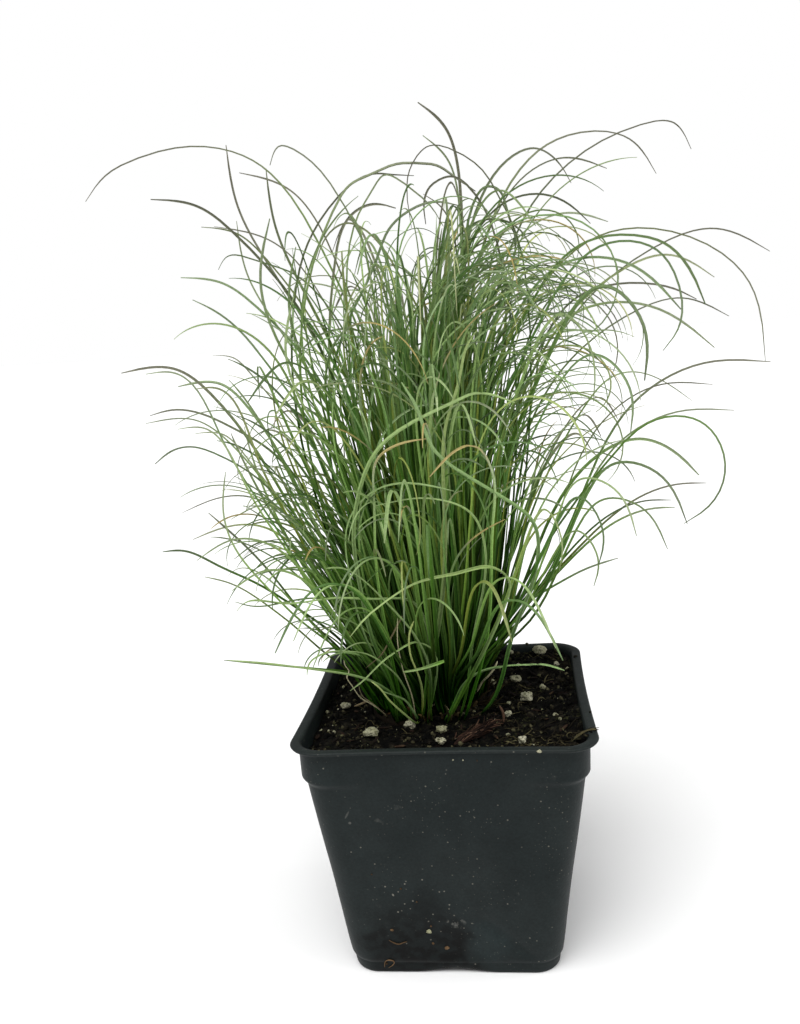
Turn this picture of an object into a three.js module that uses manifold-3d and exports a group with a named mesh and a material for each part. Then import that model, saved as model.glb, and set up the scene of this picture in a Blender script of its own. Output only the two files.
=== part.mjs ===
// A potted curly sedge: a fountain of thin arching leaves in a square nursery pot.
// Millimetres, +Z up. The origin is the middle of the pot's base, on the surface that it stands on.
// The pot's sides lie along X and Y; its front faces -Y.

import * as THREE from 'three';
import { mergeVertices } from 'three/addons/utils/BufferGeometryUtils.js';
import Module from 'manifold-3d';

const wasm = await Module();
wasm.setup();

// Pot: outer sizes of a thin-walled four-inch square pot
const POT_HEIGHT = 90.4;
const RIM_WIDTH = 102;
const FOOT_WIDTH = 74;
const WALL_SPREAD = 0.257;
const WALL = 1.1;
const FOOT_HEIGHT = 4.6;
const FOOT_STEP = 0.6;
const LIP_THICKNESS = 1.2;
const RIM_BOW = 0.8;
const RIM_CORNER = 9.5;
const FOOT_CORNER = 9;
const SHOULDER_WIDTH = 96.6;
const SHOULDER_LOW = 76.5;
const SHOULDER_FADE = 13;
const FLOOR_LOW = 2.6;
const FLOOR_TOP = 4;
const FOOT_RING = 2.5;
const FOOT_ARCH_HEIGHT = 1.5;
const FOOT_ARCH_SPAN = 31;
const DRAIN_HOLE = 9;
const DRAIN_REACH = 22;

// Steps of a rounded square: each corner's arc and each straight side
const CORNER_STEPS = 6;
const SIDE_STEPS = 6;

// Potting mix, and the crown of old sheaths that sits in it
const GAP = 0.3;
const SOIL_LEVEL = 83.6;
const CROWN_AT = new THREE.Vector2(-3, 5);
const CROWN_RADIUS = 20.5;
const CROWN_LOW = 79.5;
const CROWN_TOP = 85;

// Leaves: keeled blades in shoots, and how far from the crown's middle each ring of shoots stands
const LEAF_WIDTH = 2.1;
const LEAF_KEEL = 0.85;
const LEAF_STEPS = 15;
const TIP_CROWDING = 1.4;
const SHEATH_LENGTH = 13;
const RING = { outer: 17.2, middle: 11.6, inner: 6.2 };
const SHOOT_COUNT = 32;
const LEAF_TURN = 3.75;

const DEGREE = Math.PI / 180;

const finish = {
  pot: new THREE.MeshStandardMaterial({ color: 0x2c3233, roughness: 0.55, metalness: 0 }),
  soil: new THREE.MeshStandardMaterial({ color: 0x1d1611, roughness: 0.95, metalness: 0 }),
  crown: new THREE.MeshStandardMaterial({ color: 0x5a3a22, roughness: 0.85, metalness: 0 }),
  leaf: new THREE.MeshStandardMaterial({ color: 0x5f8a45, roughness: 0.55, metalness: 0 }),
  perlite: new THREE.MeshStandardMaterial({ color: 0xe4dfc8, roughness: 0.9, metalness: 0 }),
  bark: new THREE.MeshStandardMaterial({ color: 0x43251c, roughness: 0.9, metalness: 0 }),
  straw: new THREE.MeshStandardMaterial({ color: 0xb09a6c, roughness: 0.8, metalness: 0 }),
};

// A closed skin through rings of equally many points, each anticlockwise seen from the last ring's
// side, with a fan of triangles over each end.
function skin(rings) {
  const across = rings[0].length;
  const positions = rings.flat().flatMap((p) => [p.x, p.y, p.z]);
  const faces = [];
  for (let row = 0; row + 1 < rings.length; row++) {
    for (let i = 0; i < across; i++) {
      const a = row * across + i;
      const b = row * across + ((i + 1) % across);
      faces.push(a, b, b + across, a, b + across, a + across);
    }
  }
  const addCap = (ring, row, upward) => {
    const middle = positions.length / 3;
    const centre = ring.reduce((sum, p) => sum.add(p), new THREE.Vector3()).divideScalar(across);
    positions.push(centre.x, centre.y, centre.z);
    for (let i = 0; i < across; i++) {
      const a = row * across + i;
      const b = row * across + ((i + 1) % across);
      faces.push(...(upward ? [middle, a, b] : [middle, b, a]));
    }
  };
  addCap(rings[0], 0, false);
  addCap(rings.at(-1), rings.length - 1, true);
  const geometry = new THREE.BufferGeometry();
  geometry.setAttribute('position', new THREE.Float32BufferAttribute(positions, 3));
  geometry.setIndex(faces);
  return geometry;
}

function toSolid(geometry) {
  return new wasm.Manifold(new wasm.Mesh({
    numProp: 3,
    vertProperties: new Float32Array(geometry.attributes.position.array),
    triVerts: new Uint32Array(geometry.index.array),
  }));
}

function toGeometry(solid) {
  const mesh = solid.getMesh();
  const geometry = new THREE.BufferGeometry();
  geometry.setAttribute('position', new THREE.Float32BufferAttribute(mesh.vertProperties, 3));
  geometry.setIndex(Array.from(mesh.triVerts));
  return geometry;
}

// One level ring of a square with rounded corners. bow pulls the middles of the sides in;
// pad pushes the corners out and fades along the sides.
function squareRing(width, corner, z, { bow = 0, pad = 0 } = {}) {
  const half = width / 2;
  const straight = half - corner;
  const points = [];
  for (let side = 0; side < 4; side++) {
    const turn = (x, y) => new THREE.Vector2(x, y).rotateAround(new THREE.Vector2(), side * 90 * DEGREE);
    for (let step = 0; step <= CORNER_STEPS; step++) {
      const angle = (step / CORNER_STEPS) * 90 * DEGREE;
      const reach = corner + pad;
      points.push(turn(straight + reach * Math.cos(angle), straight + reach * Math.sin(angle)));
    }
    for (let step = 1; step < SIDE_STEPS; step++) {
      const along = straight * (1 - (2 * step) / SIDE_STEPS);
      const fromCorner = straight - Math.abs(along);
      const fade = Math.max(0, 1 - fromCorner / SHOULDER_FADE);
      const sag = bow * (1 - (along / straight) ** 2);
      points.push(turn(along, half - sag + pad * fade));
    }
  }
  return points.map((p) => new THREE.Vector3(p.x, p.y, z));
}

const outerWidth = (z) => FOOT_WIDTH + WALL_SPREAD * z;
const cornerAt = (z) => FOOT_CORNER + (RIM_CORNER - FOOT_CORNER) * (z / POT_HEIGHT);

function wallRing(z) {
  const width = outerWidth(z);
  const pad = z > SHOULDER_LOW ? Math.max(0, SHOULDER_WIDTH - width) / 2 : 0;
  return squareRing(width, cornerAt(z), z, { pad });
}

function cavityRing(z, clearance = 0) {
  const inset = WALL + clearance;
  return squareRing(outerWidth(z) - 2 * inset, cornerAt(z) - inset, z);
}

// The pot: one moulded shell with a rolled lip, pads under the lip at its corners for stacking,
// a stepped foot with a low arch in each side, and drain holes in its raised floor.
function makePot() {
  const lipLow = POT_HEIGHT - LIP_THICKNESS;
  const lipEdge = { bow: RIM_BOW };
  const foot = FOOT_WIDTH - 2 * FOOT_STEP;
  const outside = skin([
    squareRing(foot - 1.6, FOOT_CORNER - 0.8, 0),
    squareRing(foot, FOOT_CORNER, 0.9),
    squareRing(foot + 0.6, FOOT_CORNER, FOOT_HEIGHT - 0.5),
    wallRing(FOOT_HEIGHT + 0.6),
    wallRing(40),
    wallRing(SHOULDER_LOW),
    wallRing(SHOULDER_LOW + 1.6),
    wallRing(lipLow - 0.4),
    squareRing(RIM_WIDTH - 1, RIM_CORNER + 1.2, lipLow, lipEdge),
    squareRing(RIM_WIDTH, RIM_CORNER + 1.5, lipLow + 0.5, lipEdge),
    squareRing(RIM_WIDTH, RIM_CORNER + 1.5, POT_HEIGHT - 0.5, lipEdge),
    squareRing(RIM_WIDTH - 1.4, RIM_CORNER + 1, POT_HEIGHT, lipEdge),
  ]);
  const cavity = skin([cavityRing(FLOOR_TOP), cavityRing(40), cavityRing(POT_HEIGHT + 1)]);
  const under = skin([
    squareRing(foot - 2 * FOOT_RING, FOOT_CORNER - 2.5, -1),
    squareRing(foot - 2 * FOOT_RING, FOOT_CORNER - 2.5, FLOOR_LOW),
  ]);
  const corners = [[1, 1], [-1, 1], [-1, -1], [1, -1]].map(([x, y]) => [x * DRAIN_REACH, y * DRAIN_REACH]);
  const cuts = [cavity, under, makeArch(0), makeArch(90), ...[[0, 0], ...corners].map(makeDrill)];
  const pot = cuts.reduce((solid, cut) => solid.subtract(toSolid(cut)), toSolid(outside));
  return toGeometry(pot);
}

// The space under the foot's two low arches that face each other, turned about the pot's middle.
function makeArch(turn) {
  const low = -1;
  const half = FOOT_ARCH_SPAN / 2;
  const outline = new THREE.Shape([new THREE.Vector2(half, low), new THREE.Vector2(half, 0)]);
  outline.bezierCurveTo(half / 2, 0, half / 2, FOOT_ARCH_HEIGHT, 0, FOOT_ARCH_HEIGHT);
  outline.bezierCurveTo(-half / 2, FOOT_ARCH_HEIGHT, -half / 2, 0, -half, 0);
  outline.lineTo(-half, low);
  const bar = new THREE.ExtrudeGeometry(outline, {
    depth: 2 * FOOT_WIDTH, steps: 1, curveSegments: 5, bevelEnabled: false,
  });
  bar.translate(0, 0, -FOOT_WIDTH).rotateX(90 * DEGREE).rotateZ(turn * DEGREE);
  return merged(bar);
}

function merged(geometry) {
  geometry.deleteAttribute('normal');
  geometry.deleteAttribute('uv');
  return mergeVertices(geometry);
}

function makeDrill([x, y]) {
  const ring = (z) => Array.from({ length: 16 }, (_, i) => {
    const angle = (i / 16) * 360 * DEGREE;
    const reach = DRAIN_HOLE / 2;
    return new THREE.Vector3(x + reach * Math.cos(angle), y + reach * Math.sin(angle), z);
  });
  return skin([ring(-1), ring(FLOOR_TOP + 1)]);
}

// Height of the potting mix: level in front and at the left, heaped at the back and the right.
function soilHeight(x, y) {
  const towardBack = THREE.MathUtils.smoothstep(y, 12, 46);
  const towardRight = THREE.MathUtils.smoothstep(x, 24, 47);
  const heap = 4.6 * Math.max(towardBack * THREE.MathUtils.smoothstep(x, -38, 22), 0.8 * towardRight);
  const lumps = 0.45 * Math.sin(0.31 * x + 1.3) * Math.cos(0.27 * y) + 0.3 * Math.sin(0.6 * x - 0.5 * y);
  return SOIL_LEVEL + heap + lumps;
}

// The potting mix fills the pot up to its uneven top, with a round seat in it for the crown.
function makeSoil() {
  const low = FLOOR_TOP + GAP;
  const wallTop = cavityRing(SOIL_LEVEL, GAP);
  const seat = (point, z) => {
    const angle = Math.atan2(point.y, point.x);
    const reach = CROWN_RADIUS + GAP;
    const x = CROWN_AT.x + reach * Math.cos(angle);
    return new THREE.Vector3(x, CROWN_AT.y + reach * Math.sin(angle), z);
  };
  const level = (share) => wallTop.map((p) => {
    const inner = seat(p, 0);
    const x = THREE.MathUtils.lerp(p.x, inner.x, share);
    const y = THREE.MathUtils.lerp(p.y, inner.y, share);
    return new THREE.Vector3(x, y, soilHeight(x, y));
  });
  const seatFloor = CROWN_LOW - GAP;
  return skin([
    cavityRing(low, GAP),
    cavityRing(40, GAP),
    level(0),
    level(0.2),
    level(0.4),
    level(0.6),
    level(0.8),
    level(1),
    wallTop.map((p) => seat(p, seatFloor)),
  ]);
}

// The crown: a low pad of old sheaths, from which every shoot rises.
function makeCrown() {
  const ring = (radius, z) => Array.from({ length: 24 }, (_, i) => {
    const angle = (i / 24) * 360 * DEGREE;
    const x = CROWN_AT.x + radius * Math.cos(angle);
    return new THREE.Vector3(x, CROWN_AT.y + radius * Math.sin(angle), z);
  });
  return skin([
    ring(CROWN_RADIUS - 1.5, CROWN_LOW),
    ring(CROWN_RADIUS, CROWN_LOW + 1.5),
    ring(CROWN_RADIUS, CROWN_TOP - 1),
    ring(CROWN_RADIUS - 1, CROWN_TOP),
  ]);
}

// A leaf lies in the upright plane that holds the crown's middle and the shoot's way. Its route is
// a list of [reach, height] points, and its section a shallow triangle with the keel outside. Its
// steps lie closer together towards the curled tip.
function leafRings(way, route, { width, keel, steps }) {
  const out = new THREE.Vector3(Math.cos(way * DEGREE), Math.sin(way * DEGREE), 0);
  const side = new THREE.Vector3(-out.y, out.x, 0);
  const place = ([reach, height]) => new THREE.Vector3(CROWN_AT.x, CROWN_AT.y, height).addScaledVector(out, reach);
  const curve = new THREE.CatmullRomCurve3(route.map(place), false, 'centripetal');
  return Array.from({ length: steps + 1 }, (_, i) => {
    const share = 1 - (1 - i / steps) ** TIP_CROWDING;
    const point = curve.getPointAt(share);
    const outward = new THREE.Vector3().crossVectors(curve.getTangentAt(share), side).negate();
    const spread = width * (1 - 0.78 * share ** 2);
    return [
      point.clone().addScaledVector(side, spread / 2),
      point.clone().addScaledVector(side, -spread / 2),
      point.clone().addScaledVector(outward, keel * (1 - 0.5 * share)),
    ];
  });
}

function makeSheath(way, start, next) {
  const out = new THREE.Vector3(Math.cos(way * DEGREE), Math.sin(way * DEGREE), 0);
  const side = new THREE.Vector3(-out.y, out.x, 0);
  const lean = new THREE.Vector2(next[0] - start[0], next[1] - start[1]).normalize();
  const ring = (along, halfWidth, halfDepth) => Array.from({ length: 6 }, (_, i) => {
    const angle = (i / 6) * 360 * DEGREE;
    const reach = start[0] + along * lean.x + halfDepth * Math.cos(angle);
    const point = new THREE.Vector3(CROWN_AT.x, CROWN_AT.y, start[1] + along * lean.y);
    return point.addScaledVector(out, reach).addScaledVector(side, halfWidth * Math.sin(angle));
  });
  return skin([ring(0, 1.9, 1.5), ring(SHEATH_LENGTH * 0.5, 1.8, 1.3), ring(SHEATH_LENGTH, 1.2, 0.8)]);
}

// A shoot is one grown piece: a sheath and the leaves that part from it. The first leaf takes the
// shoot's route; the others turn a little to each side, one more upright and one lower.
const leafShares = [
  { turn: 0, reach: 1, height: 1 },
  { turn: -LEAF_TURN, reach: 0.8, height: 0.92 },
  { turn: LEAF_TURN, reach: 0.93, height: 0.76 },
];

function makeShoot({ way, ring, route }) {
  const start = [RING[ring], CROWN_TOP + GAP];
  const second = route[0];
  let shoot = toSolid(makeSheath(way, start, second));
  for (const { turn, reach, height } of leafShares) {
    const own = route.map(([r, z]) => [start[0] + (r - start[0]) * reach, start[1] + (z - start[1]) * height]);
    const foot = [start[0], start[1] + 2];
    const rings = leafRings(way + turn, [foot, ...own], { width: LEAF_WIDTH, keel: LEAF_KEEL, steps: LEAF_STEPS });
    shoot = shoot.add(toSolid(skin(rings)));
  }
  return toGeometry(shoot);
}

// Routes of the shoots' main leaves, [reach from the crown's middle, height], by ring and way.
// Ways are degrees from +X (right) towards +Y (back), one shoot every 360 / SHOOT_COUNT degrees.
const routes = [
  // right
  [[44, 140], [75, 195], [97, 205], [118, 204]],
  [[24, 150], [54, 223], [84, 245], [106, 250], [126, 241]],
  [[27, 108], [54, 133], [85, 153], [102, 156], [114, 155]],
  [[14, 180], [30, 255], [53, 282], [76, 289], [98, 285], [108, 274]],
  [[42, 135], [72, 178], [96, 188], [106, 178]],
  [[17, 170], [25, 230], [28, 266], [22, 289], [6, 297]],
  // back
  [[38, 125], [62, 158], [84, 166], [97, 156]],
  [[14, 180], [34, 258], [58, 276], [76, 262]],
  [[42, 135], [68, 180], [88, 192], [99, 182]],
  [[20, 150], [46, 222], [70, 240], [88, 228]],
  [[38, 122], [62, 152], [82, 158], [96, 150]],
  [[13, 180], [30, 245], [52, 264], [70, 252]],
  [[42, 135], [68, 178], [90, 190], [104, 182]],
  [[24, 150], [48, 215], [78, 256], [88, 274], [91, 296]],
  // left
  [[40, 122], [62, 150], [76, 159], [91, 160], [116, 152]],
  [[8, 154], [15, 198], [35, 254], [56, 283], [80, 291], [106, 285], [120, 269]],
  [[38, 135], [59, 177], [76, 203], [88, 213], [109, 213]],
  [[20, 150], [42, 233], [61, 258], [72, 267], [87, 270]],
  [[36, 120], [57, 160], [71, 189], [86, 214], [94, 214]],
  [[13, 170], [38, 198], [53, 222], [57, 240], [52, 260]],
  [[36, 115], [55, 145], [70, 160], [82, 163], [94, 159]],
  [[20, 145], [44, 200], [66, 216], [82, 206]],
  // front
  [[36, 118], [58, 145], [80, 150], [100, 138]],
  [[13, 180], [28, 238], [46, 252], [62, 240]],
  [[40, 130], [66, 172], [90, 184], [108, 172]],
  [[20, 145], [44, 205], [66, 220], [84, 208]],
  [[36, 118], [60, 146], [84, 150], [102, 138]],
  [[13, 180], [30, 246], [52, 262], [70, 250]],
  [[38, 125], [60, 160], [71, 170], [79, 161], [77, 150]],
  [[22, 150], [50, 210], [73, 232], [84, 220], [84, 204]],
  [[40, 128], [58, 165], [68, 176], [82, 173], [91, 157]],
  [[14, 175], [36, 225], [63, 249], [88, 247], [108, 231], [113, 206]],
];

const ringOrder = ['outer', 'middle', 'outer', 'inner'];
const shoots = routes.map((route, i) => ({
  way: (i * 360) / SHOOT_COUNT,
  ring: ringOrder[i % ringOrder.length],
  route,
}));

// Grains of perlite lying on the mix: [x, y, width, height]
const grains = [
  [-26, -23.8, 5.9, 2.9], [-12.8, -19.8, 4.2, 3.5], [-1.6, -22, 3.8, 2.4], [-1.2, -31.4, 3, 2.4],
  [-38.5, -0.8, 3, 2.5], [24.8, 21.6, 3.8, 2.5], [28.7, 3.8, 5.4, 3.2], [21.6, -8.4, 2.8, 2.6],
  [34.8, 10.6, 2.5, 2.1], [26.3, -32.7, 3, 2.8], [15.8, 19.6, 2.6, 2.6], [35, 43.4, 5.6, 3],
];

function makeGrain([x, y, width, height], index) {
  const grain = new THREE.IcosahedronGeometry(width / 2, 1);
  const position = grain.attributes.position;
  const flatness = new THREE.Vector3(1, 0.85, height / width);
  for (let i = 0; i < position.count; i++) {
    const point = new THREE.Vector3().fromBufferAttribute(position, i);
    const swell = 1 + 0.12 * Math.sin(2.1 * point.x + index) * Math.cos(1.7 * point.y - point.z);
    point.multiplyScalar(swell).multiply(flatness);
    position.setXYZ(i, point.x, point.y, point.z);
  }
  grain.translate(x, y, soilHeight(x, y) + height * 0.56 + GAP);
  return grain;
}

// A flat splinter of bark and thin dry stalks lie on the mix.
const barkFrom = new THREE.Vector2(4, -31);
const barkTo = new THREE.Vector2(18.2, -14.6);
const BARK_WIDTH = 5;
const BARK_THICKNESS = 1.4;

function makeBark() {
  const along = barkTo.clone().sub(barkFrom);
  const across = new THREE.Vector2(-along.y, along.x).normalize();
  const shares = [0.02, 0.2, 0.45, 0.75, 0.98];
  const breadths = [0.25, 0.85, 1, 0.7, 0.2];
  return skin(shares.map((share, i) => {
    const middle = barkFrom.clone().addScaledVector(along, share);
    const half = (BARK_WIDTH * breadths[i]) / 2;
    const low = soilHeight(middle.x, middle.y) + 0.9;
    const corner = (sign, z) => new THREE.Vector3(middle.x + sign * half * across.x, middle.y + sign * half * across.y, z);
    return [corner(-1, low), corner(1, low), corner(1, low + BARK_THICKNESS), corner(-1, low + BARK_THICKNESS)];
  }));
}

function makeStalk(points, thickness) {
  const curve = new THREE.CatmullRomCurve3(points.map(([x, y, rise]) => (
    new THREE.Vector3(x, y, soilHeight(x, y) + rise + thickness / 2 + GAP)
  )));
  const outline = new THREE.Shape();
  outline.absarc(0, 0, thickness / 2, 0, 360 * DEGREE);
  return new THREE.ExtrudeGeometry(outline, { steps: 8, curveSegments: 6, extrudePath: curve });
}

const stalks = {
  pale_straw: makeStalk([[-35.6, 0.8, 0.5], [-33.6, 3.2, 0.6], [-31.6, 5.6, 0.9], [-29.6, 8, 0.8]], 1),
  red_twig: makeStalk([[20, -16.6, 0.5], [20, -16.2, 3.9], [18.9, -16, 6.4]], 0.9),
};

const plant = new THREE.Group();

function addPiece(name, geometry, material) {
  const piece = new THREE.Mesh(geometry, material);
  piece.name = name;
  plant.add(piece);
}

const numbered = (name, index) => `${name}_${String(index + 1).padStart(2, '0')}`;

addPiece('pot', makePot(), finish.pot);
addPiece('potting_mix', makeSoil(), finish.soil);
addPiece('crown', makeCrown(), finish.crown);
shoots.forEach((shoot, i) => addPiece(numbered('shoot', i), makeShoot(shoot), finish.leaf));
grains.forEach((grain, i) => addPiece(numbered('perlite_grain', i), makeGrain(grain, i), finish.perlite));
addPiece('bark_splinter', makeBark(), finish.bark);
addPiece('pale_straw', stalks.pale_straw, finish.straw);
addPiece('red_twig', stalks.red_twig, finish.bark);

export default plant;
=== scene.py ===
import bpy
import numpy as np
from mathutils import Matrix, Vector


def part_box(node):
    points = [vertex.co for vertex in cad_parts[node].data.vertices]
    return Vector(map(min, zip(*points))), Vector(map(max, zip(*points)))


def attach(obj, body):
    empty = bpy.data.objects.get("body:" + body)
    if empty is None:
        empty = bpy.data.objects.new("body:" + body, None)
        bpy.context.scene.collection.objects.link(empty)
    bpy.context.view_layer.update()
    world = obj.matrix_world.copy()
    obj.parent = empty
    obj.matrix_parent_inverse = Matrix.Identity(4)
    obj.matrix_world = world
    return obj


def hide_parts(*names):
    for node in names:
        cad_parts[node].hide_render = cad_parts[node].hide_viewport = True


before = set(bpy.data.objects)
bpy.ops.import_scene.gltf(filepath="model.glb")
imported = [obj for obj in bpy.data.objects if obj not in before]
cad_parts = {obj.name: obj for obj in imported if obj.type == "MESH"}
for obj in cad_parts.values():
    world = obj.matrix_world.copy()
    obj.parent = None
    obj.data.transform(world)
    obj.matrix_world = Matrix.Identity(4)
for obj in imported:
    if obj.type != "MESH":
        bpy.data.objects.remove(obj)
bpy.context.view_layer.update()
MM = 0.001


# Pot
# The pot is one thin shell of charcoal plastic, drawn over a mould and a little wavy. Its lip turns
# outward, pads under its corners keep stacked pots apart, and its foot is stepped in, with a low
# arch in each side and drain holes in a raised floor.

POT_HEIGHT = 90.4
FOOT_HALF = 37.0
WALL_SPREAD = 0.1285
WALL = 1.1
PAD_HALF = 48.3
PAD_LOW = 76.5
PAD_FADE = 13.0
LIP_BOW = 0.8
ARCH_HEIGHT = 1.5
ARCH_HALF = 15.5
DRAIN_RADIUS = 4.5
DRAIN_REACH = 22.0
DRAIN_SIDES = 40
SIDE_COLUMNS = 64
CREASE_ENDS = ((9.0, 24.0), (26.0, 8.0))
CREASE_DEPTH = 1.1
CREASE_WIDTH = 1.7
HOLLOW_AT = (3, 13)
HOLLOW_DEPTH = 0.8
HOLLOW_SPREAD = 150

# The shell's profile from the middle of its underside round the foot, up the wall, over the lip and
# down inside to the middle of its floor: height, half width, corner radius, rings to the next point
POT_PROFILE = [
    (2.6, 0.5, 0.1, 6), (2.6, 33.3, 6.2, 1), (2.2, 33.8, 6.4, 3), (0.25, 33.95, 6.5, 1),
    (0.0, 34.3, 6.9, 2), (0.0, 35.5, 8.0, 1), (0.12, 36.0, 8.5, 1), (0.5, 36.35, 8.9, 1),
    (1.1, 36.55, 9.0, 4), (3.9, 36.95, 9.0, 1), (4.3, 36.95, 9.0, 1), (4.7, 37.1, 9.0, 1),
    (5.3, 37.45, 9.0, 1), (6.2, 37.75, 9.0, 46), (74.6, 46.55, 9.4, 10), (79.5, 47.2, 9.4, 8),
    (88.4, 48.35, 9.5, 1), (88.9, 48.7, 9.8, 1), (89.1, 49.4, 10.3, 1), (89.15, 50.3, 10.8, 1),
    (89.3, 50.8, 11.0, 1), (89.7, 51.0, 11.0, 1), (90.1, 50.85, 10.9, 1), (90.35, 50.4, 10.6, 1),
    (90.4, 49.9, 10.2, 2), (90.4, 48.6, 9.2, 1), (90.2, 47.9, 8.6, 1), (89.6, 47.45, 8.2, 16),
    (5.2, 36.6, 8.0, 1), (4.3, 36.2, 7.7, 1), (4.0, 35.4, 7.2, 6), (4.0, 0.5, 0.1, 0),
]
OUTER_WALL = slice(8, 22)

# Marks on the front, in metres: middle across and up, half width and half height, then how ragged
# the edge is and how far the mark is turned
STAIN = (-0.011, 0.008, 0.027, 0.030, 1.9, 0)
# PAINTED_DENT_LIGHT is painted light: a paler teal patch beside the crease, where the dent's face catches the
# light
PAINTED_DENT_LIGHT = (0.012, 0.014, 0.009, 0.010, 0, 0)
SPLASH = (-0.012, 0.031, 0.019, 0.014, 0.8, 0)
SMEAR = (0.001, 0.0213, 0.0040, 0.0024, 0, 0)
SCRATCH = (-0.0328, 0.0658, 0.0004, 0.0019, 0, -0.5)
NICK = (-0.0321, 0.0626, 0.0006, 0.0006, 0, 0)

# Where the front ends, by depth, and where the lip begins, by height, each with a soft edge
FRONT_EDGE = (-0.034, -0.030)
LIP_EDGE = (0.0888, 0.0893)
TINY = 1e-9


def smooth(low, high, value):
    """A soft step: 0 below low, 1 above high, and 3t^2 - 2t^3 of the way t between them."""
    t = np.clip((value - low) / (high - low), 0, 1)
    return t * t * (3 - 2 * t)


def lattice_noise(points, size, seed):
    """Soft noise from -1 to 1: random heights at the corners of cubes of the given size, blended
    across each cube by a soft step along every axis. points is an array of rows x, y, z."""
    table = np.random.default_rng(seed).uniform(-1, 1, 4096)
    cell, part = np.divmod(np.asarray(points, float) / size, 1.0)
    part = part * part * (3 - 2 * part)
    cell = cell.astype(np.int64)
    total = 0.0
    for corner in np.ndindex(2, 2, 2):
        place = cell + corner
        key = (place[..., 0] * 73856093) ^ (place[..., 1] * 19349663) ^ (place[..., 2] * 83492791)
        share = np.prod(np.where(corner, part, 1 - part), axis=-1)
        total = total + share * table[key % 4096]
    return total


def unit(arrows):
    """Arrows of length 1 in the same ways, safe where one has no length."""
    return arrows / (np.linalg.norm(arrows, axis=-1, keepdims=True) + TINY)


def round_turn(count):
    """Angles evenly round a full turn, from 0."""
    return np.linspace(0, 2 * np.pi, count, endpoint=False)


def rounded_square(u, v, half, corner):
    """Bends the unit square into one with rounded corners. Where both coordinates pass the share of
    the side that is straight, the rest of them gives the way round an arc about the corner's centre.
    Returns the place and the outward way of each point on the outline's ring."""
    straight = 1 - corner / half
    size = np.maximum(np.maximum(np.abs(u), np.abs(v)), TINY)
    edge = np.stack([np.abs(u), np.abs(v)], -1) / size[..., None]
    beyond = np.maximum(edge - straight[..., None], 0)
    outward = unit(beyond)
    place = np.minimum(edge, straight[..., None]) * half[..., None] + corner[..., None] * outward
    sign = np.stack([np.where(u < 0, -1, 1), np.where(v < 0, -1, 1)], -1)
    return place * size[..., None] * sign, outward * sign


def square_walk(count):
    """Points round the unit square from its front right corner, anticlockwise, count to a side, set
    closer together towards the corners by a sine."""
    t = np.sin(np.linspace(-np.pi / 2, np.pi / 2, count, endpoint=False))
    one = np.ones(count)
    return np.concatenate([one, -t, -one, t]), np.concatenate([t, one, -t, -one])


def ring_faces(rings, columns):
    """Quads between neighbouring rings of a closed tube, facing out where the rings climb and run
    anticlockwise."""
    row, column = np.meshgrid(np.arange(rings - 1), np.arange(columns), indexing="ij")
    here = row * columns + column
    beside = row * columns + (column + 1) % columns
    return np.stack([here, beside, beside + columns, here + columns], -1).reshape(-1, 4)


def end_rings(rings, columns):
    """The faces that close both ends of such a tube: its first ring turned round, and its last."""
    ring = np.arange(columns)
    return [ring[::-1], (rings - 1) * columns + ring]


def add_mesh(name, points, quads, triangles=(), caps=()):
    """Makes a smooth object from points in millimetres, in the row's frame, with its faces given as
    rows of four or three corners; caps are rings of any length."""
    faces = [list(map(int, face)) for group in (quads, triangles, caps) for face in group]
    mesh = bpy.data.meshes.new(name)
    mesh.from_pydata((np.asarray(points, float) * MM).tolist(), [], faces)
    mesh.polygons.foreach_set("use_smooth", np.ones(len(faces), bool))
    mesh.update()
    piece = bpy.data.objects.new(name, mesh)
    bpy.context.scene.collection.objects.link(piece)
    return piece


def keep_attribute(piece, name, values):
    """Stores one number for each point of a piece, which its material reads by this name."""
    layer = piece.data.attributes.new(name, "FLOAT", "POINT")
    layer.data.foreach_set("value", np.asarray(values, np.float32).ravel())


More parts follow.
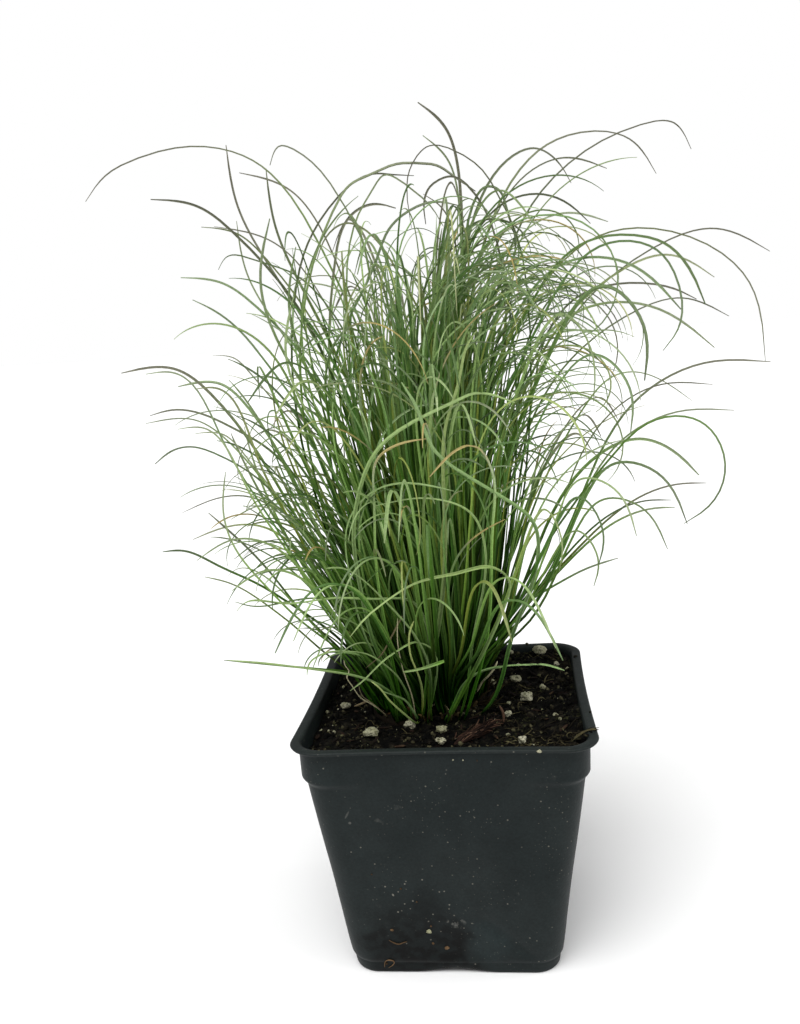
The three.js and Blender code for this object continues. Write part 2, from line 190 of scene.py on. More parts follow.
class Value:
    """One output of a node in a material. Arithmetic on values adds Math nodes beside it."""

    def __init__(self, tree, socket=None):
        self.tree, self.socket = tree, socket

    def node(self, kind, settings, sockets, out=0):
        """Adds a node of this type: its settings first, then the values or links of its sockets."""
        made = self.tree.nodes.new("ShaderNode" + kind)
        for name, setting in settings.items():
            if name == "stops":
                ramp = made.color_ramp
                ramp.elements[0].position, ramp.elements[-1].position = setting[0][0], setting[-1][0]
                for place, colour in setting[1:-1]:
                    ramp.elements.new(place)
                for element, (place, colour) in zip(ramp.elements, setting):
                    element.color = (*colour, 1)
            else:
                setattr(made, name, setting)
        for name, given in sockets.items():
            if isinstance(given, Value):
                self.tree.links.new(given.socket, made.inputs[name])
            else:
                made.inputs[name].default_value = given
        return Value(self.tree, made.outputs[out])

    def math(self, operation, *numbers):
        """Any Math node, on the values or numbers given."""
        return self.node("Math", {"operation": operation}, dict(enumerate(numbers)))

    def __add__(self, other):
        return self.math("ADD", self, other)

    def __sub__(self, other):
        return self.math("SUBTRACT", self, other)

    def __rsub__(self, other):
        return self.math("SUBTRACT", other, self)

    def __mul__(self, other):
        return self.math("MULTIPLY", self, other)

    __radd__, __rmul__ = __add__, __mul__

    def step(self, low, high):
        """A soft step of this value from 0 at low to 1 at high."""
        return self.node("MapRange", {"interpolation_type": "SMOOTHSTEP"}, {0: self, 1: low, 2: high})

    def mix(self, first, second):
        """The first colour where this mask is 0 and the second where it is 1."""
        sockets = {0: self, 6: first, 7: second}
        sockets = {key: (*given, 1) if isinstance(given, tuple) else given for key, given in sockets.items()}
        return self.node("Mix", {"data_type": "RGBA"}, sockets, out=2)

    def times(self, other):
        """This colour multiplied by another, channel by channel."""
        return self.node("VectorMath", {"operation": "MULTIPLY"}, {0: self, 1: other})

    def place(self):
        """Object coordinates, in metres."""
        return self.node("TexCoord", {}, {}, out=3)

    def noise(self, scale, detail=4, where=None):
        """Cloudy noise from 0 to 1; scale counts its lumps in a metre."""
        settings = {"Vector": where or self.place(), "Scale": scale, "Detail": detail}
        return self.node("TexNoise", {}, settings)

    def specks(self, scale, size, share):
        """Round dots as wide as the given part of their cells, in a share of the cells."""
        where = {"Vector": self.place(), "Scale": scale}
        chance = self.node("SeparateColor", {}, {0: self.node("TexVoronoi", {}, where, out=1)})
        dots = 1 - self.node("TexVoronoi", {}, where).step(size * 0.5, size)
        return dots * chance.math("LESS_THAN", chance, share)

    def attribute(self, name):
        """The number that keep_attribute stored under this name."""
        return self.node("Attribute", {"attribute_name": name}, {}, out=2)

    def bump(self, height, strength, distance):
        """A normal bent by a height, for a relief as deep as the distance."""
        return self.node("Bump", {}, {"Height": height, "Strength": strength, "Distance": distance})


def finish_named(name):
    """An empty material, and the value that the nodes of its tree start from."""
    material = bpy.data.materials.new(name)
    material.use_nodes = True
    material.node_tree.nodes.clear()
    return material, Value(material.node_tree)


def surface(start, sockets):
    """Closes a material's tree with its shader and output."""
    shader = start.node("BsdfPrincipled", {}, sockets)
    output = start.tree.nodes.new("ShaderNodeOutputMaterial")
    start.tree.links.new(shader.socket, output.inputs["Surface"])


def pot_plastic():
    """Satin charcoal plastic with a blue-green cast: cloudy tone, a damp stain low on the front that
    ends at a crease, a paler patch beside it that is painted light on the dent's face, splashed specks,
    a smear, a scratch and a nick, and the mould's grain. The lip is painted lighter, a painted
    highlight where the rim catches the light."""
    material, start = finish_named("pot_plastic")
    x, y, z = (start.node("SeparateXYZ", {}, {0: start.place()}, out=i) for i in range(3))
    front = 1 - y.step(*FRONT_EDGE)

    def spot(middle_x, middle_z, half_wide, half_high, ragged, turn):
        """An oval mask on the front, by the squares of both turned offsets, with a noisy edge."""
        c, d = np.cos(turn), np.sin(turn)
        across = ((x - middle_x) * c + (z - middle_z) * d) * (1 / half_wide)
        up = ((z - middle_z) * c - (x - middle_x) * d) * (1 / half_high)
        reach = across * across + up * up + start.noise(75, 5) * ragged
        return front * (1 - reach.step(0.35 + ragged * 0.5, 1.0 + ragged * 0.5))

    cloud = start.noise(38, 5)
    tone = cloud.step(0.3, 0.7).mix((0.0086, 0.0128, 0.0130), (0.0130, 0.0176, 0.0176))
    # Painted light: the paler teal patch beside the crease stands in for light on the dent's face
    tone = (spot(*PAINTED_DENT_LIGHT) * 0.4).mix(tone, (0.017, 0.026, 0.027))
    crease = 1 - (x + z * 0.765 - 0.0205 + (start.noise(130, 3) - 0.5) * 0.006).step(-0.0022, 0.0012)
    damp = spot(*STAIN) * crease * (1 - z.step(0.010, 0.034) * 0.55)
    damp = damp * (start.noise(260, 4).step(0.40, 0.60) * 0.45 + 0.55)
    tone = (damp * 0.95).mix(tone, (0.0010, 0.0012, 0.0011))
    # Painted highlight: the lip is painted a lighter grey-green, where the rim catches the light
    lip = z.step(*LIP_EDGE)
    tone = (lip * 0.7).mix(tone, (0.018, 0.022, 0.021))
    dust = start.specks(330, 0.12, 0.75) * start.noise(60, 3).step(0.36, 0.52)
    splash = start.specks(420, 0.17, 0.7) * spot(*SPLASH)
    fine = start.specks(900, 0.20, 0.5) * start.noise(60, 3).step(0.46, 0.64)
    tone = (dust * 0.55 + splash * 0.7 + fine * 0.30).mix(tone, (0.19, 0.18, 0.15))
    smear = spot(*SMEAR) * start.noise(520, 3).step(0.46, 0.66)
    scratch = spot(*SCRATCH) * 0.6 + spot(*NICK)
    scuff = start.noise(210, 6).step(0.66, 0.78) * start.noise(28, 2).step(0.5, 0.62)
    tone = (smear * 0.8 + scratch * 0.6 + scuff * 0.25).mix(tone, (0.110, 0.110, 0.100))
    tone = tone.times((start.noise(1100, 3) - 0.5) * 0.7 + (start.noise(130, 4) - 0.5) * 0.5 + 1)
    rough = cloud * 0.12 + 0.42 - damp * 0.08 + dust * 0.3
    grain = start.noise(1500, 3) * 0.5 + start.noise(160, 3) * 1.6
    surface(start, {
        "Base Color": tone, "Roughness": rough, "Normal": start.bump(grain, 0.35, 0.0003),
        "Specular IOR Level": 0.10,
    })
    return material


def pot_points():
    """Rings round the profile, each a rounded square. The pads push the corners out, the lip's sides
    bow in, the foot's sides lift into arches, and the walls wave and carry one long dent."""
    stretches = []
    for (z, half, corner, steps), following in zip(POT_PROFILE, POT_PROFILE[1:]):
        stretches.append(np.linspace((z, half, corner), following[:3], steps, endpoint=False))
    stretches.append([POT_PROFILE[-1][:3]])
    z, half, corner = (column[:, None] for column in np.concatenate(stretches).T)
    u, v = square_walk(SIDE_COLUMNS)
    place, outward = rounded_square(u[None, :], v[None, :], half, corner)
    z = np.broadcast_to(z, place.shape[:2])
    index = np.arange(len(z))
    lip_ring = len(z) - 1 - np.argmax(z[::-1, 0] > POT_HEIGHT - 0.1)
    outside = (index <= lip_ring)[:, None]
    along = np.where(np.abs(outward[..., 0]) > np.abs(outward[..., 1]), place[..., 1], place[..., 0])
    to_corner = half - corner - np.abs(along)
    in_wall = smooth(5, 12, z) * (1 - smooth(86, 89, z)) * outside
    pad = smooth(PAD_LOW - 1.2, PAD_LOW + 1.6, z) * (1 - smooth(88.2, 88.9, z)) * outside
    pad = pad * np.maximum(PAD_HALF - half, 0) * (1 - smooth(2, PAD_FADE, to_corner))
    bow = LIP_BOW * smooth(88.6, 89.2, z) * np.clip(1 - (along / (half - corner + 1e-6)) ** 2, 0, 1)
    spots = np.dstack([place, z])
    move = pad - bow + wall_wave(spots) * in_wall - front_dent(spots) * smooth(4.6, 7, z) * outside
    place = place + outward * move[..., None]
    arch = ARCH_HEIGHT * (1 - smooth(0, ARCH_HALF, np.abs(along))) * (1 - smooth(0.2, 3.6, z)) * (half > 33.5)
    return np.dstack([place, z + arch])


def wall_wave(spots):
    """How far the wall swells out: two octaves of soft noise."""
    return 0.35 * lattice_noise(spots, 34.0, 3) + 0.12 * lattice_noise(spots, 13.0, 5)


def front_dent(spots):
    """How far the front is pushed in: a crease that runs down to the right, deepest at its middle,
    beside a shallow hollow."""
    x, z = spots[..., 0], spots[..., 2]
    (start_x, start_z), end = CREASE_ENDS
    run = np.subtract(end, CREASE_ENDS[0])
    length = np.hypot(*run)
    share = ((x - start_x) * run[0] + (z - start_z) * run[1]) / length**2
    aside = ((x - start_x) * run[1] - (z - start_z) * run[0]) / length
    crease = CREASE_DEPTH * np.exp(-((aside / CREASE_WIDTH) ** 2))
    crease = crease * smooth(-0.25, 0.35, share) * (1 - smooth(0.8, 1.25, share))
    hollow = HOLLOW_DEPTH * np.exp(-((x - HOLLOW_AT[0]) ** 2 + (z - HOLLOW_AT[1]) ** 2) / HOLLOW_SPREAD)
    return (crease + hollow) * (spots[..., 1] < -30)


def make_pot():
    """The shell, closed, with round drains cut through its floor: one in the middle, four about it."""
    points = pot_points()
    rings, columns = points.shape[:2]
    caps = end_rings(rings, columns)
    pot = add_mesh("pot_shell", points.reshape(-1, 3), ring_faces(rings, columns), caps=caps)
    turn = round_turn(DRAIN_SIDES)
    ring = np.column_stack([np.cos(turn), np.sin(turn), np.zeros(DRAIN_SIDES)]) * DRAIN_RADIUS
    drills = [(0, 0)] + [(x * DRAIN_REACH, y * DRAIN_REACH) for x in (-1, 1) for y in (-1, 1)]
    for x, y in drills:
        ends = np.concatenate([ring + (x, y, 0.3), ring + (x, y, 6.3)])
        drill = add_mesh("drill", ends, ring_faces(2, DRAIN_SIDES), caps=end_rings(2, DRAIN_SIDES))
        cut = pot.modifiers.new("drain", "BOOLEAN")
        cut.operation, cut.solver, cut.object = "DIFFERENCE", "EXACT", drill
        bpy.context.view_layer.objects.active = pot
        bpy.ops.object.modifier_apply(modifier=cut.name)
        bpy.data.objects.remove(drill)
    return pot


pot = make_pot()
pot.data.materials.append(pot_plastic())
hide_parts("pot")
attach(pot, "root")


# Potting mix
# The mix is moist peat and shredded bark, nearly black. It was filled level and then heaped by the
# plant's roots and by hand at the back and the right, up to the lip. It lies loose in the pot.

SOIL_LEVEL = 83.6
SOIL_LOW = 60.0
SOIL_GAP = 0.15
SOIL_CORNER = 8.2
SOIL_GRID = 200
CROWN_X, CROWN_Y = -3.0, 5.0
CROWN_RADIUS = 20.5
CROWN_SEAT = 79.0


def soil_height(x, y):
    """Height of the mix without its lumps: its level, the heap towards the back right, and a slow
    swell, as sines."""
    heap = 4.6 * np.maximum(smooth(12, 46, y) * smooth(-38, 22, x), 0.8 * smooth(24, 47, x))
    swell = 0.45 * np.sin(0.31 * x + 1.3) * np.cos(0.27 * y) + 0.3 * np.sin(0.6 * x - 0.5 * y)
    return SOIL_LEVEL + heap + swell


def crown_share(x, y):
    """How far the crown reaches towards a place, as a share of a round crown's reach: further to the
    left, and drawn in at the front right, each by a cosine of the way."""
    way = np.arctan2(y - CROWN_Y, x - CROWN_X)
    return 1 + 0.28 * np.maximum(-np.cos(way), 0) - 0.56 * np.maximum(np.cos(way + 0.84), 0) ** 1.5


def crown_reach(x, y):
    """Distance from the crown's middle, measured so that its edge is at its radius all round."""
    return np.hypot(x - CROWN_X, y - CROWN_Y) / crown_share(x, y)


def soil_lumps(x, y):
    """Lumps of the mix: two octaves of soft noise, and two finer ones folded into crumbs."""
    spots = np.stack([x, y, np.zeros_like(x)], -1)
    broad = 0.8 * lattice_noise(spots, 9.0, 11) + 0.7 * lattice_noise(spots, 4.2, 12)
    fine = 0.75 * np.abs(lattice_noise(spots, 2.1, 13)) + 0.5 * np.abs(lattice_noise(spots, 1.1, 14))
    return broad + fine - 0.45


def mix_top(x, y):
    """Height of the mix with its lumps."""
    return soil_height(x, y) + soil_lumps(x, y)


def soil_finish():
    """Damp peat: black-brown with redder and paler fibres, dull, with crumbs in its bump."""
    material, start = finish_named("potting_mix")
    tone = start.node("ValToRGB", {"stops": [
        (0.38, (0.0003, 0.0002, 0.0001)), (0.52, (0.0012, 0.0010, 0.0006)),
        (0.62, (0.0065, 0.0054, 0.0032)), (0.76, (0.0420, 0.0350, 0.0205)),
    ]}, {0: start.noise(300, 7)})
    red = start.noise(420, 3).step(0.60, 0.72)
    tone = (red * 0.3).mix(tone, (0.022, 0.011, 0.008))
    moss = start.noise(95, 3).step(0.50, 0.66) * start.noise(900, 2).step(0.50, 0.66)
    tone = (moss * 0.55).mix(tone, (0.050, 0.052, 0.018))
    rough = 0.95 - start.noise(150, 2).step(0.5, 0.7) * 0.3
    grain = start.noise(1400, 5)
    surface(start, {
        "Base Color": tone, "Roughness": rough, "Normal": start.bump(grain, 0.8, 0.0006),
        "Specular IOR Level": 0.1,
    })
    return material


def make_soil():
    """A block whose top is the mix's height over a grid that is bent into the pot's rounded square,
    with a round seat for the crown. Its sides lean with the wall, and its bottom is flat."""
    count = SOIL_GRID
    t = np.linspace(-1, 1, count)
    u, v = np.meshgrid(t, t, indexing="ij")
    half, low_half = (FOOT_HALF + WALL_SPREAD * level - WALL - SOIL_GAP for level in (SOIL_LEVEL, SOIL_LOW))
    place, _ = rounded_square(u, v, np.full(u.shape, half), np.full(u.shape, SOIL_CORNER))
    x, y = place[..., 0], place[..., 1]
    rim = np.maximum(np.abs(u), np.abs(v))
    high = soil_height(x, y) + soil_lumps(x, y) * (1 - 0.5 * smooth(0.96, 1, rim))
    seat = 1 - smooth(CROWN_RADIUS - 0.9, CROWN_RADIUS + 0.3, crown_reach(x, y))
    high = high + (CROWN_SEAT - high) * seat
    spread = 1 + WALL_SPREAD * (high - SOIL_LEVEL) / half
    top = np.dstack([x * spread, y * spread, np.minimum(high, POT_HEIGHT + 0.6)])
    walk = np.concatenate([
        np.arange(count - 1) * count, (count - 1) * count + np.arange(count - 1),
        np.arange(count - 1, 0, -1) * count + count - 1, np.arange(count - 1, 0, -1),
    ])
    narrow = low_half / half
    bottom = top.reshape(-1, 3)[walk] * (narrow, narrow, 0) + (0, 0, SOIL_LOW)
    base = count * count
    here = (np.arange(count - 1)[:, None] * count + np.arange(count - 1)).ravel()
    quads = np.stack([here, here + count, here + count + 1, here + 1], -1)
    ring = np.arange(len(walk))
    after = (ring + 1) % len(walk)
    sides = np.stack([walk[ring], base + ring, base + after, walk[after]], -1)
    points = np.concatenate([top.reshape(-1, 3), bottom])
    return add_mesh("mix_body", points, np.concatenate([quads, sides]), caps=[base + ring[::-1]])


soil = make_soil()
soil_material = soil_finish()
soil.data.materials.append(soil_material)
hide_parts("potting_mix")
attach(soil, "root")


# Crumbs of the mix
# Loose crumbs of peat, flakes of bark and root fibres lie all over the mix, and a few have climbed
# the lip at the front right. They are soft, dry to damp, and held only by their own weight.

CRUMB_COUNT = 1900
FLAKE_COUNT = 80
FIBRE_COUNT = 150
CORNER_FIBRES = 70
MIX_HALF = 45.5
CLEAR_OF_CROWN = 21.5
TILTED = [(0.8, 0.6, 0), (-0.48, 0.64, 0.6), (0.36, -0.48, 0.8)]
NEARLY_UP = (0.31, 0.17, 0.94)


def ball(rows, columns):
    """Points of a ball of radius 1 as rings between two poles, and its faces: quads between rings,
    triangles at the poles."""
    down = np.linspace(0, np.pi, rows + 1)[1:-1, None]
    round_it = round_turn(columns)[None, :]
    rings = np.stack(np.broadcast_arrays(
        np.sin(down) * np.cos(round_it), np.sin(down) * np.sin(round_it), np.cos(down)), -1)
    points = np.concatenate([rings.reshape(-1, 3)[::-1], [[0, 0, 1], [0, 0, -1]]])
    count = (rows - 1) * columns
    ring = np.arange(columns)
    after = (ring + 1) % columns
    quads = ring_faces(rows - 1, columns)[:, ::-1]
    low = np.stack([ring, after, np.full(columns, count + 1)], -1)
    high = np.stack([after, ring, np.full(columns, count)], -1) + [count - columns, count - columns, 0]
    return points, quads, np.concatenate([low, high])


def turned_axes(random, count, tip=0.6):
    """Random turns about the upright, with a lesser random tip from level: rows of the axes."""
    yaw, pitch = random.uniform(0, 2 * np.pi, count), random.normal(0, tip, count)
    along = np.stack([np.cos(yaw) * np.cos(pitch), np.sin(yaw) * np.cos(pitch), np.sin(pitch)], -1)
    side = np.stack([-np.sin(yaw), np.cos(yaw), np.zeros(count)], -1)
    return np.stack([along, side, np.cross(along, side)], axis=1)


def repeated(faces, count, each):
    """One shape's faces for count shapes in one mesh, which have this many points each."""
    return (faces[None] + (np.arange(count) * each)[:, None, None]).reshape(-1, faces.shape[-1])


def add_lumps(name, centres, sizes, axes, rows, columns, rough, seed):
    """One object of many lumps. Each is a ball stretched to its own half sizes along its own axes,
    with its radius changed by noise by the given share."""
    points, quads, triangles = ball(rows, columns)
    count, each = len(centres), len(points)
    offsets = np.arange(count)[:, None, None] * 7.3
    tilted = points[None] @ np.array(TILTED)
    noise = lattice_noise(tilted * 1.6 + offsets, 1.0, seed)
    noise = noise + 0.5 * lattice_noise(tilted * 4.1 + offsets, 1.0, seed + 1)
    shaped = points[None] * (1 + rough * noise[..., None]) * sizes[:, None, :]
    placed = np.einsum("nij,njk->nik", shaped, axes) + centres[:, None, :]
    faces = (repeated(one, count, each) for one in (quads, triangles))
    piece = add_mesh(name, placed.reshape(-1, 3), *faces)
    shade = np.random.default_rng(seed + 2).uniform(0, 1, count)
    keep_attribute(piece, "shade", np.repeat(shade, each))
    return piece


def add_fibres(name, lines, radius, seed, sides=4):
    """One object of many thin fibres. Each is a tube along its line, widest at its middle by a sine,
    with its rings square to the line."""
    ahead = unit(np.gradient(lines, axis=1))
    side = unit(np.cross(ahead, NEARLY_UP))
    up = np.cross(side, ahead)
    count, steps = lines.shape[:2]
    share = np.linspace(0, 1, steps)[None, :, None, None]
    thick = radius[:, None, None, None] * (0.35 + 0.65 * np.sin(np.pi * share) ** 0.6)
    angle = round_turn(sides)[None, None, :, None]
    round_it = np.cos(angle) * side[:, :, None] - np.sin(angle) * up[:, :, None]
    points = lines[:, :, None] + thick * round_it
    each = steps * sides
    quads = repeated(ring_faces(steps, sides), count, each)
    caps = repeated(np.stack(end_rings(steps, sides)), count, each)
    piece = add_mesh(name, points.reshape(-1, 3), quads, caps=caps)
    shade = np.random.default_rng(seed).uniform(0, 1, count)
    keep_attribute(piece, "shade", np.repeat(shade, each))
    return piece


def spots_on_mix(random, count, clear=CLEAR_OF_CROWN):
    """Random places on the mix, clear of the crown, at its height."""
    x, y = random.uniform(-MIX_HALF, MIX_HALF, (2, count * 2))
    kept = np.flatnonzero(crown_reach(x, y) > clear)[:count]
    x, y = x[kept], y[kept]
    return np.stack([x, y, mix_top(x, y)], -1)


def crumb_finish(name, stops, grain_scale, grain_depth):
    """Organic matter whose colour runs over the given stops from piece to piece and, less, within
    each piece; dull, with fine grain in its bump."""
    material, start = finish_named(name)
    mixed = start.attribute("shade") * 0.75 + start.noise(grain_scale * 0.5, 4) * 0.5 - 0.12
    tone = start.node("ValToRGB", {"stops": stops}, {0: mixed})
    grain = start.noise(grain_scale, 5)
    surface(start, {
        "Base Color": tone, "Roughness": 0.88 + grain * 0.1,
        "Normal": start.bump(grain, 0.7, grain_depth), "Specular IOR Level": 0.12,
    })
    return material


random = np.random.default_rng(41)
spots = spots_on_mix(random, CRUMB_COUNT)
sizes = random.uniform(0.3, 1.0, (CRUMB_COUNT, 1)) ** 2 * random.uniform(0.4, 1.2, (CRUMB_COUNT, 3)) + 0.1
spots[:, 2] += sizes[:, 2] * 0.35
axes = turned_axes(random, CRUMB_COUNT)
crumbs = add_lumps("mix_crumbs", spots, sizes, axes, rows=4, columns=6, rough=0.6, seed=42)
crumb_material = crumb_finish("mix_crumbs", [
    (0.10, (0.0004, 0.0003, 0.0002)), (0.48, (0.0018, 0.0015, 0.0009)),
    (0.72, (0.0140, 0.0115, 0.0065)), (0.90, (0.1000, 0.0920, 0.0480)),
], 1500, 0.0004)
crumbs.data.materials.append(crumb_material)

spots = spots_on_mix(random, FLAKE_COUNT)
ranges = ((1.0, 2.8), (0.4, 0.9), (0.2, 0.4))
sizes = np.stack([random.uniform(low, high, FLAKE_COUNT) for low, high in ranges], -1)
spots[:, 2] += 0.3
axes = turned_axes(random, FLAKE_COUNT, 0.25)
flakes = add_lumps("mix_flakes", spots, sizes, axes, rows=4, columns=8, rough=0.3, seed=47)
bark_material = crumb_finish("mix_bark", [
    (0.10, (0.0020, 0.0013, 0.0010)), (0.50, (0.0080, 0.0050, 0.0034)),
    (0.80, (0.0240, 0.0130, 0.0085)), (0.97, (0.0700, 0.0450, 0.0240)),
], 1100, 0.0005)
flakes.data.materials.append(bark_material)


def lying_lines(random, starts, length, rise, steps=7):
    """Wandering lines over the mix: the heading turns steadily by a random bend, and the height
    follows the mix with a low arch of the given rise."""
    count = len(starts)
    share = np.linspace(0, 1, steps)[None, :]
    heading = random.uniform(0, 2 * np.pi, count)[:, None] + random.normal(0, 1.1, count)[:, None] * share
    span = length[:, None] / (steps - 1)
    x = starts[:, :1] + np.cumsum(np.cos(heading) * span, axis=1)
    y = starts[:, 1:2] + np.cumsum(np.sin(heading) * span, axis=1)
    x, y = np.clip(x, -MIX_HALF - 0.5, MIX_HALF + 0.5), np.clip(y, -MIX_HALF - 0.5, MIX_HALF + 0.5)
    z = mix_top(x, y) + 0.15 + rise[:, None] * np.sin(np.pi * share)
    return np.stack([x, y, z], -1)


starts = spots_on_mix(random, FIBRE_COUNT, clear=24)
starts = np.concatenate([starts, random.uniform((25, -40, 0), (44, -26, 0), (CORNER_FIBRES, 3))])
length = random.uniform(2.5, 9, len(starts))
lines = lying_lines(random, starts, length, np.abs(random.normal(0.2, 0.6, len(starts))))
lines = lines[crown_reach(lines[..., 0], lines[..., 1]).min(axis=1) > 20]
fibres = add_fibres("mix_fibres", lines, random.uniform(0.09, 0.22, len(lines)), seed=51)
fibre_material = crumb_finish("mix_fibres", [
    (0.10, (0.0060, 0.0050, 0.0028)), (0.50, (0.0240, 0.0190, 0.0100)),
    (0.80, (0.0750, 0.0640, 0.0300)), (0.97, (0.2000, 0.1800, 0.0900)),
], 2200, 0.0002)
fibres.data.materials.append(fibre_material)

# The dirt that lies on the lip: x, y, height, then half sizes
LIP_DIRT = [
    (44.3, -38.3, 88.6, 1.5, 0.8, 0.6), (46.6, -38.1, 89.6, 1.3, 0.6, 0.5),
    (48.6, -37.6, 90.5, 1.1, 0.5, 0.4), (50.2, -36.6, 90.7, 0.8, 0.4, 0.3),
    (47.4, -40.2, 90.6, 0.6, 0.4, 0.3), (49.8, -21.8, 90.6, 0.6, 0.4, 0.3),
    (48.6, 33.0, 90.6, 1.0, 0.6, 0.4), (30.0, 49.2, 90.6, 1.4, 0.7, 0.5), (17.5, 49.0, 90.6, 0.9, 0.6, 0.4),
]
dirt = np.array(LIP_DIRT)
axes = turned_axes(random, len(dirt), 0.2)
lip_dirt = add_lumps("lip_dirt", dirt[:, :3], dirt[:, 3:], axes, rows=5, columns=8, rough=0.3, seed=53)
lip_dirt.data.materials.append(crumb_material)

# Fibres that hang over the lip at that corner: their inner ends, the bend they share, their outer ends
inner = np.array([(42.0, -40.2, 88.2), (43.0, -37.5, 88.3), (44.5, -39.0, 88.8), (41.5, -36.0, 88.0)])
over = np.array((47, -37.6, 91.6))
outer = np.array([(51.4, -35.6, 90.9), (50.6, -37.4, 91.0), (49.8, -34.8, 90.9), (51.2, -37.0, 90.8)])
bend = np.linspace(0, 1, 9)[None, :, None]
lines = inner[:, None] * (1 - bend) ** 2 + 2 * bend * (1 - bend) * over + outer[:, None] * bend**2
lip_fibres = add_fibres("lip_fibres", lines, np.array([0.24, 0.3, 0.2, 0.26]), seed=55)
lip_fibres.data.materials.append(fibre_material)

for piece in (crumbs, flakes, fibres, lip_dirt, lip_fibres):
    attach(piece, "root")


# Perlite
# White grains of puffed volcanic glass are mixed in to let air to the roots. The largest lie on top,
# half sunk in the mix, with peat in their hollows; many small ones are scattered between them.

GRAIN_COUNT = 12
BOX_FILL = 0.96
DUST_COUNT = 60


def perlite_finish():
    """Puffed glass: chalky cream white, stained olive and brown in patches, with pits in its bump."""
    material, start = finish_named("perlite")
    stain = start.noise(420, 4).step(0.46, 0.68)
    tone = start.attribute("shade").mix((0.28, 0.28, 0.16), (0.46, 0.44, 0.32))
    tone = (stain * 0.6).mix(tone, (0.17, 0.17, 0.065))
    peat = start.noise(900, 3).step(0.56, 0.68)
    tone = (peat * 0.8).mix(tone, (0.032, 0.028, 0.016))
    pits = start.node("TexVoronoi", {}, {"Vector": start.place(), "Scale": 1900.0})
    grain = pits * 1.2 + start.noise(1200, 4)
    surface(start, {
        "Base Color": tone, "Roughness": 0.9 - stain * 0.15, "Normal": start.bump(grain, 0.8, 0.0005),
        "Specular IOR Level": 0.3,
    })
    return material


perlite_material = perlite_finish()
for number in range(1, GRAIN_COUNT + 1):
    low, high = (np.array(corner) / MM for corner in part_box(f"perlite_grain_{number:02d}"))
    half = (high - low)[None] / 2 * BOX_FILL
    grain = add_lumps(f"perlite_{number:02d}", (low + high)[None] / 2, half, np.eye(3)[None],
                      rows=18, columns=26, rough=0.42, seed=70 + number)
    grain.data.materials.append(perlite_material)
    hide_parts(f"perlite_grain_{number:02d}")
    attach(grain, "root")

# Places of the small grains that lie in view, x and y, then their size
SMALL_GRAINS = [
    (-45.3, -2.2, 1.3), (-42.5, 19.5, 1.5), (23.3, 44.5, 2.1), (22.0, 1.0, 2.0), (21.5, -24.6, 1.5),
    (29.8, -33.6, 1.6), (41.0, 34.1, 2.3), (45.0, 28.3, 1.8), (38.4, -13.5, 2.0), (39.5, -20.7, 1.2),
    (33.9, -4.7, 0.9), (9.3, -5.4, 1.1), (5.6, -7.5, 0.9), (-6.3, -36.6, 1.6), (-31.2, -2.3, 1.0),
    (-24.4, -18.2, 1.2), (-40.1, -19.0, 1.4), (-42.4, -18.0, 1.1), (-45.0, -17.4, 1.5), (26.0, 36.0, 1.7),
    (12.0, 40.0, 1.5), (-12.0, 38.0, 1.7), (-30.0, 30.0, 1.6), (-40.0, 36.0, 1.3), (2.0, 33.0, 1.2),
]
random = np.random.default_rng(83)
small = np.array(SMALL_GRAINS)
dust = spots_on_mix(random, DUST_COUNT)
x, y = np.concatenate([small[:, :2], dust[:, :2]]).T
size = np.concatenate([small[:, 2], random.uniform(0.25, 0.6, DUST_COUNT)])
centres = np.column_stack([x, y, mix_top(x, y) + size * 0.18])
sizes = size[:, None] / 2 * random.uniform(0.75, 1.15, (len(size), 3))
axes = turned_axes(random, len(size))
bits = add_lumps("perlite_bits", centres, sizes, axes, rows=5, columns=8, rough=0.3, seed=84)
bits.data.materials.append(perlite_material)
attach(bits, "root")


# Bark splinter, straw and twig
# Three larger bits of litter lie on the mix: a flat splinter of shredded red bark with frayed ends,
# a dry bent straw at the left, and a thin reddish twig that stands up beside the splinter.

FINE_WALK = 400
SPLINTER_ENDS = ((4.0, -31.0), (18.2, -14.6))
SPLINTER_WIDTH = 5.6
SPLINTER_THICK = 1.4
FRAY_COUNT = 80
STRAW = [(-35.6, 0.8), (-33.6, 3.2), (-31.6, 5.6), (-29.6, 8.0)]
TWIG = [(20, -16.6, 84.9), (20, -16.2, 88.4), (18.9, -16, 90.9)]


def make_splinter():
    """A flat strip along the line between its ends, its section an oval whose edge is torn by noise
    that is long along the grain, and which thins to both ends."""
    steps, sides = 48, 20
    share = np.linspace(0, 1, steps)[:, None]
    angle = round_turn(sides)[None, :]
    first, last = (np.array(end) for end in SPLINTER_ENDS)
    length = np.linalg.norm(last - first)
    along = (last - first) / length
    side = np.array([-along[1], along[0]])
    taper = np.clip(np.sin(np.pi * (0.06 + 0.88 * share)), 0, 1) ** 0.7
    grain = np.stack(np.broadcast_arrays(share * 2.2, np.cos(angle) * 3, np.sin(angle) * 3), -1)
    torn = 1 + 0.45 * lattice_noise(grain, 0.8, 90) + 0.28 * lattice_noise(grain, 0.3, 91)
    across = SPLINTER_WIDTH / 2 * np.cos(angle) * taper * torn
    height = SPLINTER_THICK / 2 * np.sin(angle) * taper * torn + 0.9 * np.sin(np.pi * share) - 0.1
    run = length * share + 0.9 * lattice_noise(grain * (0, 1, 1), 0.6, 92) * (share - 0.5) * 2
    x = first[0] + along[0] * run + side[0] * across
    y = first[1] + along[1] * run + side[1] * across
    ground = soil_height(first[0] + along[0] * length * share, first[1] + along[1] * length * share)
    points = np.stack([x, y, ground + 0.55 + height], -1)
    caps = end_rings(steps, sides)
    splinter = add_mesh("splinter", points.reshape(-1, 3), ring_faces(steps, sides), caps=caps)
    keep_attribute(splinter, "shade", np.full(steps * sides, 0.45))
    return splinter


